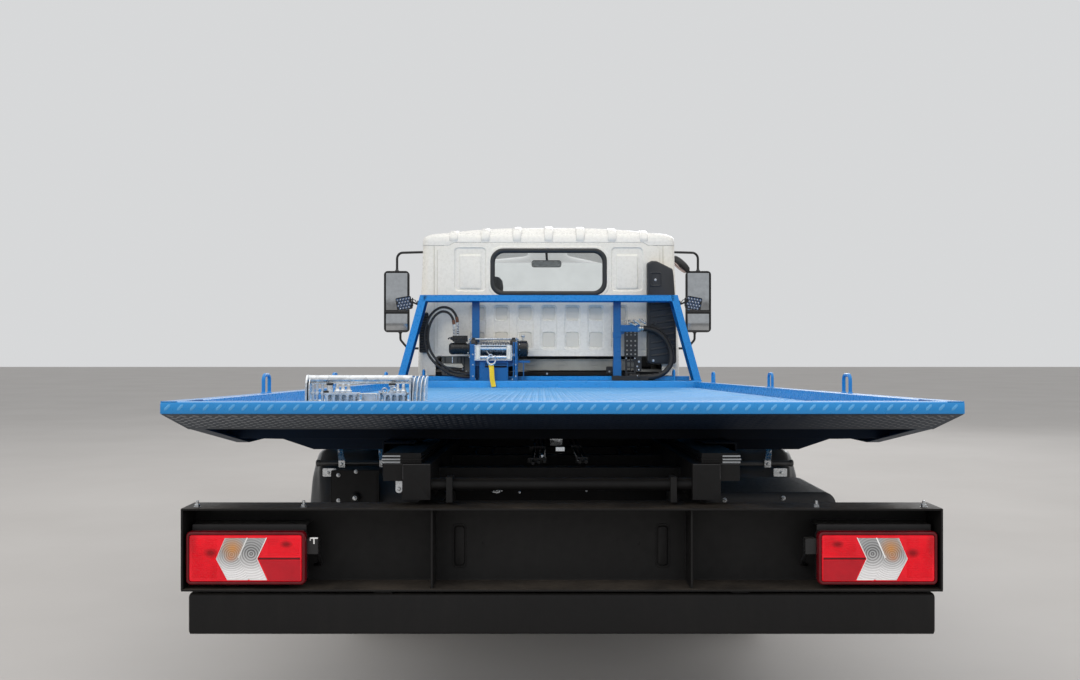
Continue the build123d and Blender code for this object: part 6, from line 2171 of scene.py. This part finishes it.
RIM_SIDE = [(30, 205), (44, 220), (74, 221), (83, 223), (86.5, 229), (87.5, 238), (89.5, 242.5), (93, 242.5), (94.5, 239), (93, 230),
            (88, 218), (78, 213), (50, 212), (36, 197)]
RIM_LOOP = RIM_SIDE + [(-x, r) for x, r in reversed(RIM_SIDE)]
FRONT_DISC = [(30, 200), (38, 199), (44, 192), (46, 175), (46, 120), (49, 110), (52, 100), (52, 58), (44, 58), (44, 98), (40, 108),
              (38, 120), (38, 172), (34, 188), (26, 196)]
TWIN_DISC = [(-86, 213), (-98, 208), (-106, 196), (-109, 176), (-109, 125), (-112, 112), (-113, 100), (-113, 68), (-121, 68),
             (-121, 104), (-117, 120), (-117, 178), (-113, 200), (-104, 214), (-88, 219)]


def spokes(n, r, sc, phase=0.0):
    return [(sc + r * math.cos(a), 385 + r * math.sin(a)) for a in (2 * math.pi * i / n + phase for i in range(n))]


for side, sg in (("left", -1), ("right", 1)):
    p = Piece()
    p.flip = sg
    tyre_into(p, 860, 6650)
    done(p, f"front_tyre_{side}", TYRE, f"front_wheel_{side}", f"tyre_front_{side}", sharp=24)
    p = Piece()
    p.flip = sg
    tyre_into(p, 680, 2500)
    tyre_into(p, 930, 2500)
    done(p, f"rear_tyres_{side}", TYRE, f"rear_wheels_{side}", f"tyres_rear_{side}", sharp=24)

    def holes(sc, x0, x1):
        def fn(q):
            q.flip = sg
            for s, z in spokes(5, 150, sc, math.radians(90)):
                q.lathe((x0, s, z), (1, 0, 0), [(0, 24), (x1 - x0, 24)], 22)
        return cutter(fn)
    # front rim
    p = Piece()
    p.flip = sg
    p.lathe((860, 6650, 385), (1, 0, 0), FRONT_DISC, 60, loop=True)
    d = boolean(solid(p, "disc"), holes(6650, 880, 930))
    finish_solid(d, f"front_disc_{side}", RIM, f"front_wheel_{side}", f"rim_front_{side}", sharp=40)
    p = Piece()
    p.flip = sg
    p.lathe((860, 6650, 385), (1, 0, 0), RIM_LOOP, 72, loop=True)
    p.lathe((860, 6650, 385), (1, 0, 0), [(-60, 78), (40, 78), (44, 62), (56, 62), (60, 58), (66, 50), (68, 34), (74, 32), (76, 24),
                                          (76, 0)], 36)
    p.lathe((906, 6650 + 176, 385), (1, 0, 0), [(-4, 5), (12, 5), (13, 3.4), (30, 3.4), (31, 4.4), (38, 4.4), (39, 3)], 10)
    done(p, f"front_rim_{side}", RIM, f"front_wheel_{side}", f"rim_front_{side}", sharp=35)
    p = Piece()
    p.flip = sg
    for s, z in spokes(6, 82, 6650):
        p.bolt((911.5, s, z), (1, 0, 0), 12, True, 9)
    done(p, f"front_nuts_{side}", ZINC, f"front_wheel_{side}", f"rim_front_{side}", bev=.6)
    # rear rims
    p = Piece()
    p.flip = sg
    p.lathe((930, 2500, 385), (1, 0, 0), TWIN_DISC, 60, loop=True)
    d = boolean(solid(p, "disc"), holes(2500, 790, 840))
    finish_solid(d, f"rear_disc_outer_{side}", RIM, f"rear_wheels_{side}", f"rims_rear_{side}", sharp=40)
    p = Piece()
    p.flip = sg
    p.lathe((680, 2500, 385), (1, 0, 0), [(-x, r) for x, r in TWIN_DISC], 60, loop=True)
    d = boolean(solid(p, "disc"), holes(2500, 770, 830))
    finish_solid(d, f"rear_disc_inner_{side}", RIM, f"rear_wheels_{side}", f"rims_rear_{side}", sharp=40)
    p = Piece()
    p.flip = sg
    for xc in (680, 930):
        p.lathe((xc, 2500, 385), (1, 0, 0), RIM_LOOP, 72, loop=True)
    p.lathe((817, 2500 + 178, 385), (1, 0, 0), [(-4, 5), (14, 5), (16, 3.4), (96, 3.4), (97, 4.6), (106, 4.6), (107, 3)], 10)
    done(p, f"rear_rims_{side}", RIM, f"rear_wheels_{side}", f"rims_rear_{side}", sharp=35)
    p = Piece()
    p.flip = sg
    p.lathe((0, 2500, 385), (1, 0, 0), [(640, 84), (818, 84), (822, 82), (880, 80), (900, 74), (962, 72), (966, 84), (976, 84), (979, 80),
                                        (985, 64), (985, 0)], 40)
    p.lathe((0, 2500, 385), (1, 0, 0), [(548, 82), (548, 158), (552, 164), (560, 164), (563, 158), (572, 158), (575, 164), (583, 164),
                                        (586, 158), (596, 158), (599, 164), (640, 164), (644, 158), (644, 120), (700, 96),
                                        (700, 82)], 48, loop=True)
    done(p, f"rear_hub_{side}", CAST, f"rear_wheels_{side}", f"rims_rear_{side}", sharp=35)
    p = Piece()
    p.flip = sg
    for s, z in spokes(6, 102, 2500):
        p.bolt((816.5, s, z), (1, 0, 0), 13, True, 22)
    for s, z in spokes(8, 74, 2500, .3):
        p.bolt((978, s, z), (1, 0, 0), 7, True)
    done(p, f"rear_nuts_{side}", ZINC, f"rear_wheels_{side}", f"rims_rear_{side}", bev=.6)

# ------------------------------------------------------------------ leaf springs
p = Piece()
q2 = Piece()
for sg in (1, -1):
    p.flip = q2.flip = sg
    for s0_, z0_, s1_, z1_, sm, zm, thick, n in ((1880, 586, 3120, 566, 2500, 458, 72, 7), (6080, 500, 7250, 480, 6650, 392, 46, 4)):
        step = thick / n
        for i in range(n):
            f = 1.0 if i < 2 else 1.0 - (i - 1) * .78 / n
            rows = []
            for j in range(17):
                t = (-1 + j / 8) * f
                s = sm + t * ((s1_ - sm) if t > 0 else (sm - s0_))
                zend = z1_ if t > 0 else z0_
                z = zm + thick + (zend + 12 - zm - thick) * t * t - step * i
                rows.append([(390, s, z), (450, s, z), (450, s, z - step * .86), (390, s, z - step * .86)])
            p.loft(rows)
        for s, z in ((s0_ + 10, z0_ + 12), (s1_ - 10, z1_ + 12)):
            p.lathe((386, s, z), (1, 0, 0), [(0, 22), (2, 24), (66, 24), (68, 22)], 24)
            for x in (378, 456):
                p.prism("x", round_poly([(s - 26, z - 22), (s + 26, z - 22), (s + 22, z + 84), (s - 22, z + 84)], [22, 22, 4, 4]), x, x + 7)
        p.prism("z", rr(380, 460, sm - 78, sm + 78, 10), zm + thick, zm + thick + 14)
        for s in (sm - 62, sm + 62):
            q2.tube(bent_bar([(380, s, zm - 150 if sm < 3000 else zm - 70), (380, s, zm + thick + 24), (460, s, zm + thick + 24),
                              (460, s, zm - 150 if sm < 3000 else zm - 70)], 16, 5), 7.5, 12)
            for x in (380, 460):
                q2.bolt((x, s, (zm - 128 if sm < 3000 else zm - 56)), (0, 0, -1), 13, True, 6)
        for k in (-.52, .5):
            s = sm + k * (s1_ - sm)
            z = zm + thick + (z1_ - zm - thick) * k * k
            q2.prism("y", [(387, z + 6), (453, z + 6), (453, z + 9), (384, z + 9), (384, z - thick * .62), (387, z - thick * .62)], s - 12, s + 12)
done(p, "spring_leaves", FRAMEB, "chassis", "leaf_springs", bev=.8)
done(q2, "spring_bolts", STEEL, "chassis", "leaf_springs")

# ------------------------------------------------------------------ small things along the frame
p = Piece()
for sg in (1, -1):
    p.flip = sg
    for s in range(640, 7400, 340):                    # rivet heads on the rails' webs
        zc = DECK_Z0 - (s - 0) * SR - 377
        for dz in (-52, 0, 52):
            p.lathe((455, s, zc + dz), (1, 0, 0), [(0, 8), (3, 7.4), (5, 4.4), (5.6, 0)], 12)
done(p, "rail_rivets", FRAMEB, "chassis", ())
p = Piece()                                            # brake and fuel lines along the left rail
for k, (x, z) in enumerate(((-376, 760), (-368, 742), (-374, 724))):
    p.tube([(x, s, z - s * SR) for s in range(900, 6000, 300)], 4.5 if k else 6, 8)
for s in range(1080, 5900, 600):
    p.box(-384, -362, s - 8, s + 8, 712 - s * SR, 772 - s * SR)
done(p, "brake_lines", FRAMEB, "chassis", (), bev=.6)

# fuel tank: straps, seams, filler
p = Piece()
for s in (3512, 4152):
    window_plate(p, "y", rr(-1044, -516, 446, 814, 58, 6), rr(-1039.5, -520.5, 450.5, 809.5, 54.5, 6), s - 18, s + 18)
    p.bolt((-700, s, 814), (0, 0, 1), 9, True, 6)
done(p, "tank_straps", ZINC, "chassis", "fuel_tank", bev=.8)
p = Piece()
rings = []
for s, inset in ((3416, 34), (3418, 14), (3424, 3), (3436, 0), (3440, -1.5), (3446, -1.5), (3450, 0), (4250, 0), (4254, -1.5),
                 (4260, -1.5), (4264, 0), (4276, 3), (4282, 14), (4284, 34)):
    rings.append([(x, s, z) for x, z in rr(-1040 + inset, -520 - inset, 450 + inset, 810 - inset, max(55 - inset, 12), 8)])
p.loft(rings)
for s in (3500, 4140):
    p.box(-522, -455, s, s + 60, 600, 720)
done(p, "tank_shell", ALU, "chassis", "fuel_tank", sharp=35)
p = Piece()
p.lathe((-948, 3600, 806), (-.35, 0, 1), [(0, 40), (18, 40), (20, 46), (24, 48), (44, 48), (48, 44), (50, 20)], 28)
for i in range(10):
    a = 2 * math.pi * i / 10
    p.box(-964 + 44 * math.cos(a) - 3, -964 + 44 * math.cos(a) + 3, 3600 + 44 * math.sin(a) - 3, 3600 + 44 * math.sin(a) + 3, 830, 850)
p.lathe((-740, 3800, 808), (0, 0, 1), [(0, 36), (6, 36), (8, 32), (12, 12), (22, 12)], 24)
done(p, "tank_filler", PLASTIC, "chassis", "fuel_tank", bev=.8)

# battery box and tool box
p = Piece()
p.prism("z", rr(522, 978, 3422, 3998, 14), 470, 736)
p.prism("z", rr(516, 984, 3416, 4004, 18), 730, 762)
for x in (560, 640, 720, 800, 880):
    p.prism("z", rr(x, x + 22, 3450, 3970, 10), 761, 765)
for s in (3500, 3860):
    p.box(455, 526, s, s + 60, 600, 720)
for z in (520, 570, 620, 670):
    p.prism("x", rr(3460, 3960, z, z + 14, 6), 977, 981)
done(p, "battery_box", PLASTIC, "chassis", "equipment_boxes", bev=2)
p = Piece()
rings = []
for s, inset in ((1000, 26), (1003, 9), (1010, 0), (1490, 0), (1497, 9), (1500, 26)):
    rings.append([(x, s, z) for x, z in rr(560 + inset, 1070 - inset, 590 + inset, 820 - inset, max(50 - inset, 16), 8)])
p.loft(rings)
p.prism("x", rr(1045, 1455, 636, 776, 22), 1068, 1074)
p.prism("x", rr(1060, 1440, 650, 762, 16), 1073, 1076)
for s in (1050, 1390):
    p.box(455, 570, s, s + 60, 690, 770)
done(p, "tool_box", PLASTIC, "chassis", "equipment_boxes", bev=1.5, sharp=40)
p = Piece()
p.lathe((1075, 1250, 706), (1, 0, 0), [(0, 24), (3, 24), (5, 20), (5, 12), (9, 12), (9, 4)], 24)
for s in (1110, 1390):
    p.lathe((1073, s, 628), (0, 1, 0), [(-26, 7), (26, 7)], 12)
for x, z in ((640, 790), (668, 772), (865, 798), (920, 640), (700, 640)):
    p.bolt((x, 1001, z), (0, -1, 0), 8, True, 4)
for s in (3520, 3880):
    p.prism("x", rr(s, s + 44, 672, 758, 6), 983, 988)
    p.prism("x", rr(s + 10, s + 34, 700, 740, 6), 987, 996)
done(p, "box_latches", ZINC, "chassis", "equipment_boxes", bev=.8)

# silencer: seams, straps, clamps
p = Piece()
p.lathe((680, 4250, 560), (0, 1, 0), [(0, 40), (0, 96), (3, 103), (6, 107), (11, 107), (14, 104), (786, 104), (789, 107), (794, 107), (797, 103),
                                      (800, 96), (800, 40)], 44)
p.lathe((680, 4100, 560), (0, 1, 0), [(0, 34), (0, 38), (156, 38), (156, 34)], 28, loop=True)
p.lathe((680, 5044, 560), (0, 1, 0), [(0, 34), (0, 38), (656, 38), (656, 34)], 28, loop=True)
for s in (4130, 5120):
    p.lathe((680, s, 560), (0, 1, 0), [(0, 39), (0, 43), (28, 43), (28, 39)], 28, loop=True)
    p.bolt((680 + 47, s + 14, 560), (0, 0, 1), 6, True, 8)
done(p, "silencer", EXHAUST, "chassis", "exhaust", sharp=35)
p = Piece()
for s in (4520, 4920):
    p.lathe((680, s, 560), (0, 1, 0), [(-20, 104.5), (-20, 108.5), (20, 108.5), (20, 104.5)], 40, loop=True)
    p.prism("y", [(455, 575), (592, 575), (606, 612), (606, 650), (455, 650)], s - 19, s + 19)
    p.box(448, 456, s - 34, s + 34, 560, 700)
done(p, "silencer_straps", FRAMEB, "chassis", "exhaust", bev=1)

# ------------------------------------------------------------------ details of the tilting frame
p = Piece(True)
for sg in (1, -1):
    p.flip = sg
    for w0, w1, d in ((-150.5, -146, 3), (-141, -137, 5), (-131, -127, 3)):
        p.mat = 0
        p.prism("z", rr(440 - d, 557 + d, 180 - d, 5880 + d, 4, 2), w0, w1)
        p.mat = 1
        p.prism("z", rr(503, 557.6 + d, 179.4 - d, 262, 3, 2), w0 - .3, w1 + .3)
done(p, "slide_pad_layers", [BLACK, STEEL],"tilting_frame", ())
p = Piece(True)
for sg in (1, -1):
    p.flip = sg
    p.tube([(410, 159.8, -154), (494, 159.8, -154), (494, 159.8, -200)], 1.1, 6)    # worn edges of the beam's end
    p.tube([(497, 169.8, -153), (555, 169.8, -153)], 1.0, 6)
done(p, "beam_end_edges", TRIM_DARK, "tilting_frame", ())
p = Piece(True)
p.flip = -1
p.prism("y", round_poly([(500, -246), (521, -246), (521, -205), (500, -205)], [9, 9, 2, 2]), 196, 201)
p.lathe((510, 196, -233), (0, -1, 0), [(0, 7.5), (2, 7.5), (2, 5.4), (6, 5.4), (7, 4)], 6)
p.box(496, 521, 196, 230, -210, -206)
done(p, "hanger_lug", ZINC, "tilting_frame", (), bev=.5)
p = Piece(True)                                        # fittings under the first cross-member
p.lathe((-232, 472, -268), (1, 0, .1), [(0, 2), (3, 5), (18, 10), (26, 10), (30, 7)], 18)
for x, w, r in ((-196, -266, 4), (-136, -272, 4.5), (90, -268, 3.5), (196, -262, 4), (-60, -150, 6)):
    p.lathe((x, 476, w), (0, -1, 0), [(-6, r), (3, r), (5, r * .5)], 10)
p.box(-14, 16, 470, 478, -134, -120)
done(p, "frame_fittings", ZINC_BRIGHT, "tilting_frame", (), bev=.4)
p = Piece(True)                                        # hydraulic pipes along the frame's inside
for k, x in enumerate((-92, -72, -52)):
    p.tube(bent_bar([(x, 560 + 40 * k, -182), (x, 2000, -182), (x - 14, 2100, -182), (x - 14, 5400 - 60 * k, -182)], 30, 4), 6, 10)
for x in (70, 94):
    p.tube([(x, 600, -180), (x, 3200, -180), (x, 5300, -180)], 7, 10)
for u in range(700, 5300, 640):
    p.box(-112, -44, u - 9, u + 9, -191, -173)
    p.box(60, 104, u - 9, u + 9, -191, -170)
done(p, "frame_pipes", SATIN, "tilting_frame", (), bev=.8)
p = Piece(True)
for sg in (1, -1):
    p.flip = sg
    for u in (520, 1100, 1560, 2220, 2900, 3580, 4260, 4940, 5620):   # welds and gussets of the cross-members
        p.tube([(407, u - 41, -263), (407, u - 41, -191)], 3, 6)
        p.tube([(407, u + 41, -263), (407, u + 41, -191)], 3, 6)
        p.prism("z", [(408, u + 40), (408, u + 110), (340, u + 40)], -200, -194)
done(p, "frame_gussets", BLACK, "tilting_frame", ())

# ------------------------------------------------------------------ inside the cab, its floor and the front bumper
p = Piece()
p.prism("x", round_poly([(7180, 1240), (7430, 1240), (7450, 1330), (7300, 1372), (7180, 1340)], [10, 10, 20, 60, 20]), -760, -290)
for x0 in (-880, -210, 150, 740):                      # vents and a glove box lid
    for k in range(4):
        p.prism("x", rr(7196, 7206, 1220 + k * 14, 1226 + k * 14, 2, 2), x0, x0 + 120)
p.prism("y", rr(260, 700, 1060, 1190, 18), 7176, 7184)
p.lathe((-60, 6990, 900), (0, .2, 1), [(0, 60), (8, 58), (60, 30), (90, 14), (300, 9), (304, 16), (312, 24), (330, 26), (344, 20), (350, 0)], 22)
done(p, "dash_details", TRIM_DARK, "chassis", (), bev=2)
p = Piece()
p.prism("x", [(7779, 430), (7800, 430), (7800.5, 452), (7779, 452)], -1010, 1010)
p.prism("y", rr(-560, 560, 486, 566, 16), 7797, 7802)
for x in range(-540, 541, 36):
    p.prism("x", rr(7799, 7806, 492, 560, 3, 2), x, x + 7)
for sg in (1, -1):
    p.flip = sg
    p.prism("y", rr(690, 930, 470, 590, 22), 7797, 7802)
    for k in range(2):
        p.prism("z", rr(996, 1054, 7250, 7600, 8), 470 + 240 * k, 478 + 240 * k)
    p.prism("y", rr(618, 656, 500, 540, 10), 7798, 7804)
done(p, "bumper_dark_parts", PLASTIC, "chassis", (), bev=1.2)
p = Piece()
for sg in (1, -1):
    p.flip = sg
    p.lathe((810, 7796, 530), (0, 1, 0), [(0, 44), (6, 46), (9, 44), (9, 0)], 32)
done(p, "fog_lamps", LAMP_WHITE, "chassis", (), bev=.6)
p = Piece()
p.prism("y", rr(-260, 260, 584, 694, 12), 7799, 7806)
done(p, "blank_plate", LAMP_WHITE, "chassis", (), bev=1)


# ------------------------------------------------------------------ CAD nodes that stay
cad("frame_rails", FRAMEB, 2)
cad("frame_crossmembers", FRAMEB, 3)
cad("front_axle", CAST, 4)
cad("rear_axle", CAST, 4)
cad("engine_block", ENGINE, 14, 3)
cad("propshaft", CAST, 3)
cad("cab_floor", FRAMEB, 2)
cad("knuckle_left", CAST, 3)
cad("knuckle_right", CAST, 3)
cad("track_rod", FRAMEB, 2)
cad("tilt_frame", BLACK, 3)
cad("slide_cylinder", BLACK, 1.5)
cad("slide_cylinder_rod", CHROME, 1)
cad("tilt_cylinder_barrels", BLACK, 2)
cad("tilt_cylinder_rods", CHROME, 1.5)
for n, m, b in (("fuel_tank", ALU, 2), ("equipment_boxes", BLACK, 4), ("exhaust", EXHAUST, 2), ("underrun_guards", BLACK, 3),
                ("rear_bumper", BLACK, 1.5), ("road_lamps", LENS_RED, 3), ("rear_mudguards", PLASTIC, 1),
                ("cab_roof", WHITE, 6), ("cab_back_panel", WHITE, 3), ("cab_front_panel", WHITE, 3),
                ("cab_side_panels", WHITE, 3), ("cab_glass", GLASS, 0), ("seats", CLOTH, 20), ("dashboard", TRIM, 3),
                ("snorkel", PLASTIC, 4), ("mirrors", PLASTIC_FINE, 3), ("front_bumper", WHITE, 4),
                ("rim_front_left", RIM, 1), ("rim_front_right", RIM, 1), ("rims_rear_left", RIM, 1),
                ("rims_rear_right", RIM, 1), ("tyre_front_left", TYRE, 0), ("tyre_front_right", TYRE, 0),
                ("tyres_rear_left", TYRE, 0), ("tyres_rear_right", TYRE, 0), ("door_left", WHITE, 2),
                ("door_right", WHITE, 2), ("deck_floor", BLUE_TREAD, 2), ("deck_side_rails", BLUE, 1.5),
                ("deck_crossmembers", BLUE, 2), ("deck_beams", BLUE, 1.5), ("headboard", BLUE, 2),
                ("tie_down_loops", BLUE, 0), ("winch_frame", BLUE, 1), ("winch", SATIN, 2), ("winch_fairlead", ZINC, 1),
                ("winch_hook", ZINC, 1), ("tow_strap", STRAP, 0), ("hose_carrier", PLASTIC, 1),
                ("work_lamps", PLASTIC, 1), ("wheel_skate", GALV, 1)):
    if not frame["nodes"][n].hide_render:
        cad(n, m, b)
